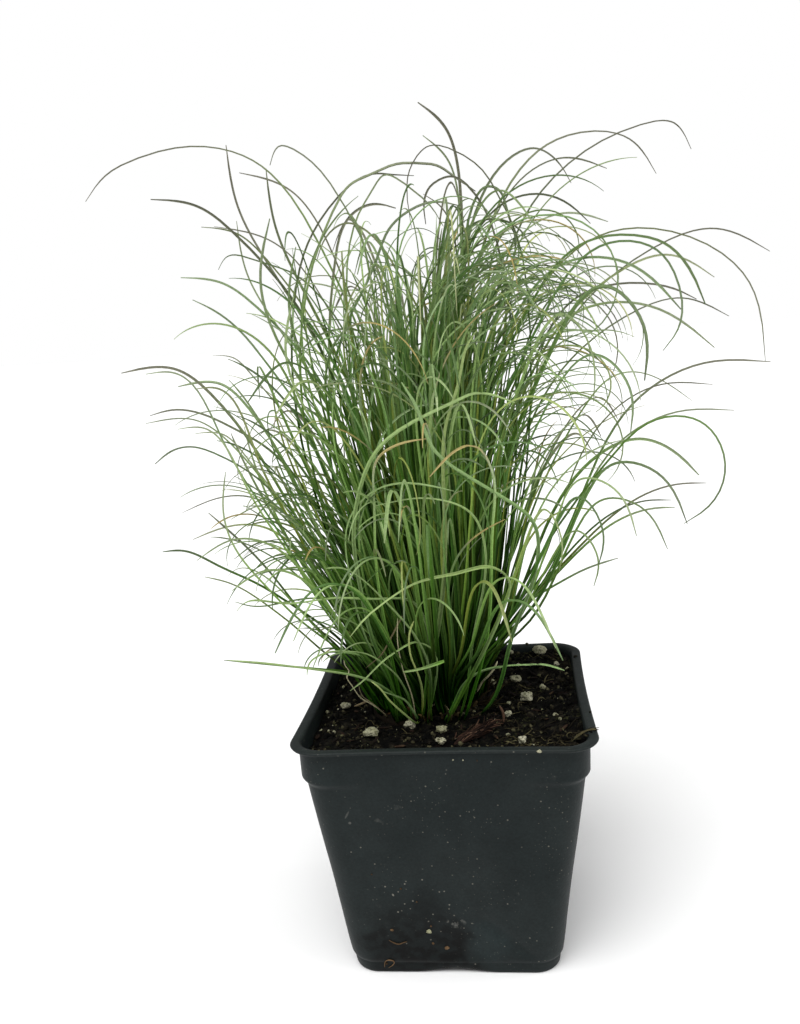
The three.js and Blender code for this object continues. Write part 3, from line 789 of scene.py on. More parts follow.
def splinter_fibres(random, count):
    """Frayed fibres that lie along the splinter and leave its far end like a fan, arching up by a
    sine."""
    first, last = (np.array(end) for end in SPLINTER_ENDS)
    along = (last - first) / np.linalg.norm(last - first)
    aside = random.uniform(-0.5, 0.5, count)[:, None] * SPLINTER_WIDTH * (-along[1], along[0])
    place = random.uniform(-0.05, 0.9, count)[:, None]
    start = first + (last - first) * place + aside
    heading = np.arctan2(along[1], along[0]) + random.normal(0, 0.22, count) * (0.4 + place[:, 0])
    length = random.uniform(4, 9, count)
    share = np.linspace(0, 1, 8)[None, :]
    turn = heading[:, None] + random.normal(0, 0.35, count)[:, None] * share
    x = start[:, :1] + np.cumsum(np.cos(turn), axis=1) * length[:, None] / 8
    y = start[:, 1:] + np.cumsum(np.sin(turn), axis=1) * length[:, None] / 8
    rise = random.uniform(0.0, 1.3, count)[:, None] * np.sin(np.pi * share * 0.8)
    rise = rise + 0.5 * np.sin(np.pi * place)
    return np.stack([x, y, soil_height(x, y) + 0.7 + rise], -1)


splinter = make_splinter()
red_bark = crumb_finish("bark_splinter", [
    (0.10, (0.0040, 0.0020, 0.0015)), (0.42, (0.0140, 0.0070, 0.0048)),
    (0.70, (0.0460, 0.0235, 0.0150)), (0.95, (0.1300, 0.0760, 0.0480)),
], 900, 0.0007)
splinter.data.materials.append(red_bark)
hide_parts("bark_splinter")
random = np.random.default_rng(95)
lines = splinter_fibres(random, FRAY_COUNT)
frays = add_fibres("splinter_fibres", lines, random.uniform(0.12, 0.32, FRAY_COUNT), seed=96)
frays.data.materials.append(red_bark)


def ground_route(points, lift):
    """Heights for points on the mix: its own height and a lift."""
    points = np.array(points, float)
    return np.column_stack([points, soil_height(points[:, 0], points[:, 1]) + lift])


def curve_through(route, count):
    """Points, count of them, evenly along a smooth curve through a route: cubics between its points
    whose bend runs on from one to the next and is nil at both ends, which a small set of equations
    gives. The curve is walked finely before its length is shared out."""
    route = np.asarray(route, float)
    knots = np.concatenate([[0], np.cumsum(np.linalg.norm(np.diff(route, axis=0), axis=1))])
    gap = np.diff(knots)[:, None]
    rise = np.diff(route, axis=0) / gap
    equations = np.eye(len(route))
    inner = np.arange(1, len(route) - 1)
    equations[inner, inner - 1] = gap[:-1, 0]
    equations[inner, inner] = 2 * (gap[:-1, 0] + gap[1:, 0])
    equations[inner, inner + 1] = gap[1:, 0]
    bend = np.linalg.solve(equations, np.pad(6 * np.diff(rise, axis=0), ((1, 1), (0, 0))))
    walk = np.linspace(0, knots[-1], FINE_WALK)
    span = np.clip(np.searchsorted(knots, walk, side="right") - 1, 0, len(route) - 2)
    after, before, gap = (walk - knots[span])[:, None], (knots[span + 1] - walk)[:, None], gap[span]
    fine = (bend[span] * before**3 + bend[span + 1] * after**3) / (6 * gap)
    fine += (route[span] / gap - bend[span] * gap / 6) * before
    fine += (route[span + 1] / gap - bend[span + 1] * gap / 6) * after
    run = np.concatenate([[0], np.cumsum(np.linalg.norm(np.diff(fine, axis=0), axis=1))])
    even = np.linspace(0, run[-1], count)
    return np.stack([np.interp(even, run, axis) for axis in fine.T], -1)


line = curve_through(ground_route(STRAW, 1.2), 40)
straw = add_fibres("straw", line[None], np.array([0.5]), seed=97, sides=10)
straw_material = crumb_finish("straw", [
    (0.10, (0.1400, 0.1000, 0.0500)), (0.60, (0.3000, 0.2300, 0.1300)), (0.97, (0.4200, 0.3500, 0.2200)),
], 1300, 0.0003)
straw.data.materials.append(straw_material)
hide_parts("pale_straw")

line = curve_through(TWIG, 24)
twig = add_fibres("twig", line[None], np.array([0.5]), seed=98, sides=10)
twig.data.materials.append(red_bark)
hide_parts("red_twig")

for piece, slot in ((splinter, "bark"), (frays, "bark"), (twig, "bark"), (straw, "straw")):
    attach(piece, "root")


# Bits stuck to the pot
# Splashed mix has dried on the front of the pot: a grain of perlite, crumbs of bark and two curled
# fibres low down, white specks under the lip and one on it. The dried damp alone holds them.

# Middles, x and height, then half sizes
STUCK_PERLITE = [(-8.6, 18.1, 0.9, 0.5, 0.8), (3.8, 86.4, 0.28, 0.2, 0.22), (7.0, 86.3, 0.26, 0.2, 0.22),
                 (31.4, 90.2, 0.8, 0.5, 0.5)]
STUCK_CRUMBS = [
    (11.5, 86.0, 0.15, 0.15, 0.4), (-2.8, 10.8, 0.8, 0.45, 0.65), (-7.5, 12.9, 0.45, 0.3, 0.4),
    (-21.4, 18.8, 0.6, 0.35, 0.45), (-7.7, 20.2, 0.35, 0.25, 0.35), (-24.6, 4.0, 0.6, 0.3, 0.4),
    (-17.0, 36.0, 0.4, 0.25, 0.3), (-12.0, 30.5, 0.35, 0.25, 0.3), (-26.5, 42.0, 0.3, 0.2, 0.25),
]
STUCK_FIBRES = [[(-22.8, 14.6), (-21.0, 13.4), (-19.4, 12.9), (-17.6, 13.6), (-16.5, 13.9)],
                [(-25.3, 2.4), (-25.1, 4.4), (-23.5, 6.0), (-21.8, 5.2), (-22.6, 3.2), (-24.1, 2.2)]]


def front_wall(x, z):
    """Where the front of the pot's skin stands, from its profile, its swell and its dents."""
    outside = np.array(POT_PROFILE[OUTER_WALL])
    half = np.interp(z, outside[:, 0], outside[:, 1])
    spots = np.stack([x, -half, z], -1)
    swell = wall_wave(spots) * smooth(5, 12, z) * (1 - smooth(86, 89, z))
    return -half - swell + front_dent(spots) * smooth(4.6, 7, z)


dried_mix = crumb_finish("dried_mix", [
    (0.10, (0.0220, 0.0140, 0.0075)), (0.60, (0.0800, 0.0480, 0.0240)), (0.97, (0.2400, 0.1500, 0.0800)),
], 1800, 0.0003)
stuck = []
for name, rows, material in (("stuck_perlite", STUCK_PERLITE, perlite_material),
                             ("stuck_crumbs", STUCK_CRUMBS, dried_mix)):
    x, z, *sizes = np.array(rows).T
    centres = np.column_stack([x, front_wall(x, z) - 0.1, z])
    axes = np.tile(np.eye(3), (len(rows), 1, 1))
    stuck.append(add_lumps(name, centres, np.stack(sizes, -1), axes, rows=10, columns=14, rough=0.3, seed=86))
    stuck[-1].data.materials.append(material)
lines = []
for route in STUCK_FIBRES:
    x, z = np.array(route).T
    lines.append(curve_through(np.column_stack([x, front_wall(x, z) - 0.25, z]), 24))
stuck.append(add_fibres("stuck_fibres", np.array(lines), np.array([0.22, 0.2]), seed=89, sides=6))
stuck[-1].data.materials.append(dried_mix)
for piece in stuck:
    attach(piece, "root")


# Leaves
# Each shoot is a sheath and its leaves, grown as one piece from the crown. The leaves are thin
# channelled blades, green below and grey-brown at their curled tips. Those that stand out of the
# clump follow routes of their own; the many beside them fill the shoot out.

LEAF_FOOT = 84.2
SHEATH_TOP = 87.3
SPLIT_LEVEL = 85.3
SHOOT_COUNT = 32
SHOOT_TURN = 360 / SHOOT_COUNT
RING_ORDER = ("outer", "middle", "outer", "inner")
FINE = 160
STEPS = 30
BEND_SHARE = 0.65
GROOVE_DEEPEST = 0.22

# A shoot's three leaves with a route: how far each is turned aside, then its shares of the route's
# reach and height; the side ones follow only its first points
LEAF_TURN = 3.75
LEAF_SHARES = ((0, 1, 1), (-LEAF_TURN, 0.8, 0.95), (LEAF_TURN, 0.9, 0.86))
SIDE_POINTS = 5

# Widths of the leaves with a route and of those that fill, as a middle one and its scatter; and the
# share of it that each kind loses up to its tip
ROUTED_WIDTH = (1.42, 0.12)
FILL_WIDTH = (1.35, 0.2)
FILL_WIDTH_LIMITS = (0.8, 1.6)
TAPERS = (0.4, 0.62)
TWIST = 55

# Ages tell the finish how far a blade has turned grey. Below zero it is spared the painted shade at
# its foot, so it is bright from its foot up, as a blade that stands in the light. The most for a leaf
# with a route is less at the front; a filling leaf's grows with its reach, to a limit
DEAD = 1.0
BRIGHT = -0.22
CUT_BRIGHT = -0.42
OLDEST = 0.95
FRONT_YOUNGER = 0.7
FILL_OLDEST = 0.62
FAR = (48, 84)
FAR_OLDER = 0.4
OLDEST_LIVE = 0.88

# Routes of the shoots' main leaves, [reach from the crown's middle, height], one shoot to a turn of
# a thirty-second, from the right towards the back
MAIN_ROUTES = [
    [(44, 140), (75, 195), (97, 205), (118, 204)],
    [(24, 150), (54, 223), (84, 245), (106, 250), (126, 241)],
    [(27, 108), (54, 133), (85, 153), (102, 156), (114, 155)],
    [(14, 180), (30, 255), (53, 282), (76, 289), (98, 285), (108, 274)],
    [(42, 135), (72, 178), (96, 188), (106, 178)],
    [(17, 170), (25, 230), (28, 266), (22, 289), (6, 297)],
    [(38, 125), (62, 158), (84, 166), (97, 156)],
    [(14, 180), (34, 258), (58, 276), (76, 262)],
    [(42, 135), (68, 180), (88, 192), (99, 182)],
    [(20, 150), (46, 222), (70, 240), (88, 228)],
    [(38, 122), (62, 152), (82, 158), (96, 150)],
    [(13, 180), (30, 245), (52, 264), (70, 252)],
    [(42, 135), (68, 178), (90, 190), (104, 182)],
    [(24, 150), (48, 215), (78, 256), (88, 274), (91, 296)],
    [(40, 122), (62, 150), (76, 159), (91, 160), (116, 152)],
    [(8, 154), (15, 198), (35, 254), (56, 283), (80, 291), (104, 289), (118, 284), (127, 276)],
    [(38, 135), (59, 177), (76, 203), (88, 213), (109, 213)],
    [(20, 150), (42, 233), (61, 258), (72, 267), (87, 270)],
    [(36, 120), (57, 160), (71, 189), (86, 214), (94, 214)],
    [(13, 170), (38, 198), (53, 222), (57, 240), (52, 260)],
    [(36, 115), (55, 145), (70, 160), (82, 163), (94, 159)],
    [(20, 145), (44, 200), (66, 216), (82, 206)],
    [(36, 118), (58, 145), (80, 150), (100, 138)],
    [(13, 180), (28, 238), (46, 252), (62, 240)],
    [(40, 130), (66, 172), (90, 184), (108, 172)],
    [(20, 145), (44, 205), (66, 220), (84, 208)],
    [(36, 118), (60, 146), (84, 150), (102, 138)],
    [(13, 180), (30, 246), (52, 262), (70, 250)],
    [(38, 125), (60, 160), (71, 170), (79, 161), (77, 150)],
    [(22, 150), (50, 210), (73, 232), (84, 220), (84, 204)],
    [(40, 128), (58, 165), (68, 176), (82, 173), (91, 157)],
    [(14, 175), (36, 225), (63, 249), (88, 247), (108, 231), (113, 206)],
]

# Leaves that stray from the clump: the way in degrees that each leans, then its route as above. Its
# foot stands at a share of the first reach, within the crown
STRAY_FOOT = 0.6
STRAY_LIMIT = 17
STRAY_LEAVES = [
    (172, [(4, 150), (9, 212), (15, 244), (26, 269), (40, 285), (46, 287), (50, 281)]),
    (195, [(14, 180), (30, 230), (43, 244), (53, 248), (64, 250), (67, 246)]),
    (185, [(16, 140), (38, 188), (55, 215), (63, 226), (71, 233), (78, 237)]),
    (175, [(20, 140), (46, 188), (63, 210), (69, 216), (77, 217)]),
    (168, [(34, 140), (50, 168), (63, 182), (75, 189), (88, 195), (101, 197), (111, 195)]),
    (200, [(34, 130), (57, 173), (64, 184), (71, 192), (80, 193)]),
    (175, [(38, 136), (58, 166), (70, 176), (79, 181), (88, 184), (96, 183), (104, 178)]),
    (205, [(36, 110), (52, 126), (62, 139), (70, 151), (74, 165), (72, 180)]),
    (190, [(34, 106), (50, 125), (57, 136), (64, 146), (79, 163)]),
    (182, [(34, 108), (54, 125), (67, 134), (80, 141), (92, 147), (100, 147)]),
    (196, [(28, 96), (42, 109), (51, 119), (62, 130), (74, 139), (82, 142)]),
    (220, [(20, 112), (34, 129), (46, 135), (59, 137), (72, 138), (79, 141)]),
    (205, [(20, 90), (30, 100), (43, 105), (61, 110), (79, 115)]),
    (12, [(12, 170), (28, 235), (42, 263), (58, 277), (80, 286), (92, 286), (98, 277)]),
    (30, [(10, 190), (20, 250), (31, 272), (41, 280), (49, 282), (59, 277), (64, 270)]),
    (-20, [(16, 170), (40, 228), (58, 246), (76, 247), (84, 244), (90, 238), (96, 225)]),
    (-15, [(18, 170), (42, 222), (66, 246), (80, 243), (87, 232), (87, 218), (82, 211)]),
    (15, [(20, 160), (42, 212), (56, 229), (69, 233), (81, 233), (94, 230), (102, 226)]),
    (-14, [(38, 140), (64, 176), (80, 189), (93, 188), (101, 173), (96, 160), (88, 154)]),
    (14, [(22, 100), (34, 119), (45, 125), (57, 130), (70, 133)]),
    (10, [(38, 140), (60, 172), (77, 178), (89, 173), (99, 163)]),
    (22, [(34, 140), (62, 190), (74, 200), (82, 201), (94, 197), (107, 188)]),
    (8, [(-25, 232), (-23, 250), (-18, 263), (-13, 270), (-9, 274), (-4, 272), (1, 268), (6, 263),
        (10, 256)]),
    (172, [(-38, 230), (-34, 254), (-30, 263), (-25, 272), (-15, 280), (-6, 282), (-2, 279), (1, 274),
        (2, 267), (1, 256)]),
    (-10, [(-45, 238), (-40, 252), (-34, 261), (-26, 269), (-22, 272), (-13, 275), (-6, 274), (1, 273)]),
    (15, [(-32, 254), (-26, 265), (-21, 271), (-14, 274), (-5, 277), (3, 277), (9, 276), (15, 272),
        (22, 267)]),
    (-5, [(-24, 229), (-14, 246), (-9, 256), (-1, 262), (7, 264), (16, 262)]),
    (185, [(-29, 244), (-25, 259), (-21, 266), (-13, 272), (-9, 271), (-6, 269), (-4, 265), (-4, 257)]),
    (5, [(13, 231), (17, 251), (21, 264), (25, 268), (29, 267), (32, 259), (34, 253), (34, 246),
        (33, 241)]),
    (190, [(-3, 222), (7, 243), (15, 255), (23, 259), (30, 255), (34, 247)]),
    (10, [(7, 231), (19, 251), (30, 262), (42, 265), (52, 262), (61, 254)]),
    (-8, [(-33, 224), (-29, 247), (-22, 262), (-14, 265), (-6, 263)]),
]

# Leaves that bend across the front of the clump: width, tone, then points in millimetres from the
# foot to the tip. Those of the highest tones are dead
DEAD_TONE = 0.95
FRONT_LEAVES = [
    (1.6, 0.78, [(-18, -13, 84.2), (-18, -14, 93), (-23, -24, 119), (-25, -30, 139), (-25, -37, 158),
        (-21, -43, 175), (-13, -49, 189), (3, -55, 199), (12, -59, 203), (18, -62, 205), (23, -64, 204),
        (28, -66, 202)]),
    (1.5, 0.8, [(0, -14, 84.2), (4, -15, 92), (15, -24, 115), (23, -32, 134), (24, -35, 143),
        (19, -37, 147), (9, -42, 147), (-3, -47, 146), (-14, -52, 141), (-20, -55, 137), (-25, -58, 132)]),
    (0.95, 0.88, [(-7, -9, 84.2), (-5, -13, 92.5), (-2.9, -17, 101.5), (-1.8, -21, 109.6),
        (-2.4, -23.5, 114.5), (-4.6, -24.5, 117.1), (-8.1, -26, 118.8), (-13.5, -27.5, 117),
        (-19.7, -29.5, 113.3), (-25.6, -31.5, 108.1), (-30.7, -33, 104.6)]),
    (0.9, 0.72, [(-13, -12, 84.2), (-12.6, -16, 93.1), (-13.9, -20, 100.4), (-15.7, -23, 105.7),
        (-18.6, -26, 110.5), (-20.9, -28, 113.5), (-26, -31, 117.5), (-29.7, -33, 118.7),
        (-34.4, -35, 119.6), (-39.1, -37, 119), (-42.6, -39, 116.7), (-43.4, -40, 113.3)]),
    (1.3, 0.92, [(-15, -11, 84.2), (-15.1, -14, 90.1), (-17.5, -16, 95.1), (-20.8, -19, 99.8),
        (-25.2, -23, 104.4), (-31.5, -26, 107.9), (-38, -28, 110), (-47.6, -31, 112.8), (-60.4, -34, 116),
        (-70.8, -36, 117.8)]),
    (1.1, 0.74, [(-9, -13, 84.2), (-8, -14, 90), (-5, -19, 110), (-5, -23, 126), (-9, -25, 133),
        (-19, -28, 135), (-35, -32, 137), (-51, -36, 137), (-63, -39, 138), (-65, -40, 136)]),
    (1.2, 0.58, [(-7, -14, 84.2), (-6, -14, 90), (-5, -23, 111), (-9, -29, 124), (-16, -35, 136),
        (-22, -40, 145), (-28, -43, 150), (-33, -46, 151)]),
    (1.5, 0.7, [(12, -7, 84.2), (16, -10, 90), (24, -20, 117), (32, -29, 140), (34, -33, 153),
        (32, -37, 162), (25, -40, 169), (12, -46, 179), (3, -52, 189), (0, -56, 200), (-4, -60, 209)]),
    (1.0, 0.66, [(-16, -12, 84.2), (-17, -14, 92), (-25, -24, 119), (-28, -33, 147), (-27, -37, 161),
        (-21, -41, 171), (-13, -44, 176), (-2, -48, 177), (9, -52, 175)]),
    (1.0, 0.76, [(4, -12, 84.2), (6, -13, 90), (11, -24, 118), (16, -32, 140), (17, -37, 154),
        (13, -41, 166), (5, -45, 171), (-4, -50, 173), (-15, -54, 172)]),
    (1.2, 0.96, [(-15, -11, 84.2), (-16, -13, 92), (-18, -22, 118), (-19, -32, 149), (-17, -40, 174),
        (-15, -43, 184), (-8, -46, 189), (2, -50, 191)]),
    (1.2, 0.97, [(6, -12, 84.2), (8, -13, 90), (17, -26, 126), (20, -38, 163), (20, -45, 181),
        (15, -48, 188), (10, -50, 187), (5, -52, 183), (2, -54, 180)]),
    (1.7, 0.68, [(-6, -12, 84.2), (-6, -13, 90), (0, -22, 125), (4, -30, 155), (5, -37, 179), (7, -41, 194),
        (12, -45, 208), (15, -48, 218), (18, -50, 222)]),
    (1.1, 0.84, [(-1, -12, 84.2), (2, -12, 89), (6, -12, 97), (12, -12, 102), (20, -12, 104),
        (28, -11, 104), (35, -11, 104), (42, -12, 102)]),
]

# How the shoots of each ring stand and fill out: reach of the foot, lean from upright, length, and
# how far the upper part arches over, each with its spread; how far the arch turns aside, the share
# of the length where it begins, what is added to lean and arch to the right, tones, and how many
RINGS = {
    "outer": {"reach": 17.2, "lean": (15, 5), "length": (132, 28), "arch": (88, 36), "aside": 45,
              "begins": (0.32, 0.64), "lean_right": -9, "arch_right": 5, "tone": 0.75, "count": 16},
    "middle": {"reach": 11.6, "lean": (10, 5), "length": (184, 30), "arch": (100, 38), "aside": 70,
               "begins": (0.42, 0.70), "lean_right": -4, "arch_right": 25, "tone": 0.88, "count": 22},
    "inner": {"reach": 6.2, "lean": (4, 4), "length": (216, 26), "arch": (108, 38), "aside": 70,
              "begins": (0.50, 0.76), "lean_right": 3, "arch_right": 50, "tone": 1, "count": 26},
}
# How far way, reach, place and tilt scatter, with the leaf's tiller and then by itself
TILLERS = 4
SCATTER = ((11, 14), (2.8, 0.5), (8, 1.5), (0.55, 0.85))
FOOT_LIMITS = (0.3, 19.3)
FRONT_AND_BACK = 0.75
ARCH_LIMITS = (25, 190)
CURL_ASIDE = 50
CURL_MOST = 50
LENGTH_LIMITS = (60, 255)
# What the clump's own lopsidedness adds: leaves and tilt at the left of the inner rings, length and a
# later arch at the right
LEFT_LEAVES = 6
LEFT_TILT = 0.12
RIGHT_LENGTH = 0.12
RIGHT_BEGINS = 0.13
# The clump's outline, and how far inside it the filling leaves end: below its top, at the right and
# elsewhere, and within its sides, everywhere and more at the left
TALLEST = 274
WIDEST = 88
BELOW = (41, 70)
WITHIN = (30, 16)
DEAD_SHARE = 0.04


def spaced(lines):
    """Thins finely walked lines out to the same few points each, closer together where a line bends:
    in equal steps of its share of the length and its share of the whole bend, taken together.
    Returns the points and their shares of the length."""
    ahead = np.diff(lines, axis=1)
    length = np.linalg.norm(ahead, axis=-1)
    aim = ahead / length[..., None]
    turn = np.arccos(np.clip(np.sum(aim[:, 1:] * aim[:, :-1], axis=-1), -1, 1))
    turn = np.pad(turn, ((0, 0), (1, 0))) + 1e-5
    part, bent = (own / own.sum(axis=1, keepdims=True) for own in (length, turn))
    both = (1 - BEND_SHARE) * part + BEND_SHARE * bent
    run, measure = (np.pad(np.cumsum(own, axis=1), ((0, 0), (1, 0))) for own in (part, both))
    even = np.linspace(0, 1, STEPS + 1)
    shares = np.array([np.interp(even, own, shares) for own, shares in zip(measure, run)])
    points = np.array([[np.interp(share, own, axis) for axis in line.T]
                       for share, own, line in zip(shares, run, lines)])
    return points.transpose(0, 2, 1), shares


def routed_leaf(way, route):
    """Centre line of a leaf that lies in the upright plane of its way, through its route's points."""
    flat = curve_through(route, FINE + 1)
    out = np.array([np.cos(np.radians(way)), np.sin(np.radians(way)), 0])
    return np.array([CROWN_X, CROWN_Y, 0]) + flat[:, :1] * out + flat[:, 1:] * (0, 0, 1)


def grown_leaves(foot, lean, arch, begins, curl, length):
    """Centre lines of many leaves at once. A leaf's tilt is a level arrow, as long as its angle from
    upright: the lean at its foot, then the arch with the power 1.3 of the share beyond its beginning,
    and the curl of the tip with the third. Each of the three has a way of its own."""
    share = np.linspace(0, 1, FINE + 1)
    beyond = np.clip((share[None, :] - begins[:, None]) / (1 - begins[:, None]), 0, 1)[..., None]
    tilt = lean[:, None, :] + arch[:, None, :] * beyond**1.3 + curl[:, None, :] * beyond**3
    angle = np.linalg.norm(tilt, axis=-1, keepdims=True) + TINY
    aim = np.concatenate([np.sin(angle) * tilt / angle, np.cos(angle)], axis=-1)
    steps = (aim[:, 1:] + aim[:, :-1]) / 2 * (length / FINE)[:, None, None]
    return foot[:, None, :] + np.pad(np.cumsum(steps, axis=1), ((0, 0), (1, 0), (0, 0)))


def level_arrow(way, angle):
    """An arrow in the level plane that points the given way, as long as the angle in radians."""
    way, angle = np.radians(way), np.radians(angle)
    return np.stack([np.cos(way), np.sin(way)], -1) * angle[:, None]


def crown_foot(way, reach, height):
    """Points at the given ways in degrees and reaches from the crown's middle, at one height."""
    way = np.radians(way)
    height = np.full(len(reach), height)
    return np.stack([CROWN_X + reach * np.cos(way), CROWN_Y + reach * np.sin(way), height], -1)


def gathered(lines):
    """Blades with their feet moved in or out to the crown's real outline; the shift fades away over
    the first third of the blade."""
    x, y = lines[:, :1, 0] - CROWN_X, lines[:, :1, 1] - CROWN_Y
    shift = (crown_share(lines[:, :1, 0], lines[:, :1, 1]) - 1)[..., None] * np.stack([x, y, x * 0], -1)
    return lines + shift * (1 - smooth(0, 0.35, np.linspace(0, 1, lines.shape[1]))[None, :, None])


def blade_skins(lines, shares, way, width, twist, taper):
    """Skins of blades along centre lines. The section is a V with two edges, a keel below and a
    groove above. It widens above the foot and narrows to the tip by the taper, and it turns evenly
    along the blade up to the twist."""
    s = shares[..., None]
    ahead = unit(np.gradient(lines, axis=1))
    heading = np.radians(way)[:, None, None]
    level = np.concatenate([-np.sin(heading), np.cos(heading), np.zeros_like(heading)], -1)
    side = unit(level - np.sum(level * ahead, -1, keepdims=True) * ahead)
    under = np.cross(side, ahead)
    angle = np.radians(twist)[:, None, None] * s
    c, d = np.cos(angle), np.sin(angle)
    side, under = c * side + d * under, c * under - d * side
    half = width[:, None, None] / 2 * (0.75 + 0.25 * smooth(0.0, 0.15, s))
    half = half * (1 - taper[:, None, None] * s**1.1) * (1 - 0.6 * smooth(0.95, 1.0, s))
    keel = half * (1.2 - 0.2 * s)
    groove = keel - np.minimum(0.35 * half, GROOVE_DEEPEST)
    around = (-side * half, under * keel, side * half, under * groove)
    return np.stack([lines + offset for offset in around], axis=2)


def add_leaves(name, lines, way, width, twist, taper, tone, age):
    """One object from many blades: four long faces each, sharp at the folds, and one over each end.
    Each point's share along its blade, and each blade's tone and age, are kept for the material."""
    lines, shares = spaced(lines)
    skins = blade_skins(lines, shares, way, width, twist, taper)
    one = np.concatenate([ring_faces(STEPS + 1, 4), end_rings(STEPS + 1, 4)])
    piece = add_mesh(name, skins.reshape(-1, 3), repeated(one, len(lines), (STEPS + 1) * 4))
    ends = np.zeros(len(piece.data.edges) * 2, np.int32)
    piece.data.edges.foreach_get("vertices", ends)
    folds = piece.data.attributes.new("sharp_edge", "BOOLEAN", "EDGE")
    folds.data.foreach_set("value", ends[0::2] % 4 == ends[1::2] % 4)
    shape = skins.shape[:3]
    kept = {"along": shares[..., None], "across": np.array([0.0, 1.0, 0.0, 0.5]),
            "tone": tone[:, None, None], "age": age[:, None, None]}
    for label, values in kept.items():
        keep_attribute(piece, label, np.broadcast_to(values, shape))
    return piece


def leaf_finish():
    """Leaf green that varies with the blade's tone, some blades bluer and some yellower, with fine
    streaks. Painted shade darkens each blade towards its foot, where the clump shades it, and low on
    the blade its keel and groove are painted darker than its edges, a painted shade for the fold of its
    V. It turns grey further out, sooner on older blades, and gold towards a dead one's tip. Casts,
    streaks and the painted fold shade multiply the green, so a dark blade stays dark. A blade with an
    age below zero is spared the painted shade at its foot, as one that stands in the light, and is
    bright from its foot up, under a pale bloom."""
    material, start = finish_named("leaf")
    across, tone, age = start.attribute("across"), start.attribute("tone"), start.attribute("age")
    share = start.attribute("along")
    along = start.math("MAXIMUM", share, age * -1)
    # Painted shade: the deep colour darkens each blade towards its foot, where the clump shades it
    deep = tone.step(0.30, 1.0).mix((0.0012, 0.0180, 0.0004), (0.0520, 0.1900, 0.0100))
    green = tone.mix((0.0600, 0.1650, 0.0110), (0.3800, 0.5900, 0.1550))
    green = along.step(0.04, 0.84).mix(deep, green)
    cool = start.math("FRACT", tone * 5.7).step(0.35, 0.9)
    green = (cool * 0.8).mix(green, green.times((0.82, 0.98, 1.16)))
    yellow = start.math("FRACT", tone * 7.3).step(0.78, 0.92)
    green = (yellow * 0.8).mix(green, green.times((1.60, 1.10, 0.80)))
    grey = along.step(0.52, 0.96) * start.math("MAXIMUM", age * 0.6 + 0.35, 0.0)
    green = grey.mix(green, tone.mix((0.095, 0.100, 0.080), (0.390, 0.390, 0.320)))
    bloom = start.math("LESS_THAN", age, 0.0) * share.step(0.10, 0.36) * 0.5
    green = bloom.mix(green, tone.mix((0.110, 0.150, 0.075), (0.310, 0.390, 0.200)))
    old = age.step(0.62, 0.90) - age.step(0.96, 0.97)
    green = (along.step(0.40, 0.85) * old * 0.75).mix(green, (0.158, 0.150, 0.112))
    dead = age.step(0.965, 0.975) * along.step(0.78, 0.88)
    green = (dead * 0.8).mix(green, (0.420, 0.330, 0.110))
    # Painted shade: low on the blade, the keel and groove down its middle are painted darker than its edges,
    # for the shaded fold of its V
    painted_fold_shade = across.step(0.1, 0.9) * (1 - along.step(0.3, 0.9)) * -0.5 + 1
    streak = (start.noise(1100, 2) - 0.5) * 0.7 + 1
    surface(start, {
        "Base Color": green.times(painted_fold_shade * streak), "Roughness": along * 0.15 + 0.42,
        "Specular IOR Level": 0.02,
    })
    return material


def nearest_shoot(way):
    """The shoot whose foot stands nearest to a way in degrees."""
    return int(round(way / SHOOT_TURN)) % SHOOT_COUNT


def frontward(ways):
    """How far each of these ways in degrees points to the front, from 0 to 1."""
    return np.maximum(-np.sin(np.radians(ways)), 0)


def scattered_widths(random, middle, scatter, count):
    """Widths that are the middle one times e to a normal draw."""
    return middle * np.exp(random.normal(0, scatter, count))


def routed_leaves(index, random):
    """Centre lines, ways, widths, tones and ages of one shoot's leaves that follow a route: its main
    leaf and the two beside it, its stray ones, and those that bend across the front. The front ones
    are younger, and the live ones that bend across the front get an age below zero, which spares
    them the painted shade at the foot, as blades that stand in the light."""
    reach = RINGS[RING_ORDER[index % 4]]["reach"]
    lines, ways = [], []
    for turn, out_share, up_share in LEAF_SHARES:
        route = [(reach, LEAF_FOOT), (reach, SHEATH_TOP)]
        for out, up in MAIN_ROUTES[index][:SIDE_POINTS if turn else None]:
            route.append((reach + (out - reach) * out_share, SPLIT_LEVEL + (up - SPLIT_LEVEL) * up_share))
        ways.append(index * SHOOT_TURN + turn)
        lines.append(routed_leaf(ways[-1], route))
    for way, route in STRAY_LEAVES:
        if nearest_shoot(way) == index:
            foot = np.clip(route[0][0] * STRAY_FOOT, -STRAY_LIMIT, STRAY_LIMIT)
            ways.append(way)
            lines.append(routed_leaf(way, [(foot, LEAF_FOOT), *route]))
    lines = gathered(np.array(lines))
    widths = scattered_widths(random, *ROUTED_WIDTH, len(lines))
    tones = random.uniform(0, 0.8, len(lines))
    oldest = OLDEST - FRONT_YOUNGER * frontward(ways)
    ages = oldest * random.uniform(0.5, 1, len(lines))
    ages[0] = oldest[0]
    leaves = list(zip(lines, ways, widths, tones, ages))
    for width, tone, points in FRONT_LEAVES:
        foot_x, foot_y, _ = points[0]
        if nearest_shoot(np.degrees(np.arctan2(foot_y - CROWN_Y, foot_x - CROWN_X))) == index:
            age = DEAD if tone > DEAD_TONE else BRIGHT
            leaves.append((curve_through(points, FINE + 1), -90, width, tone, age))
    return [np.array(column) for column in zip(*leaves)]


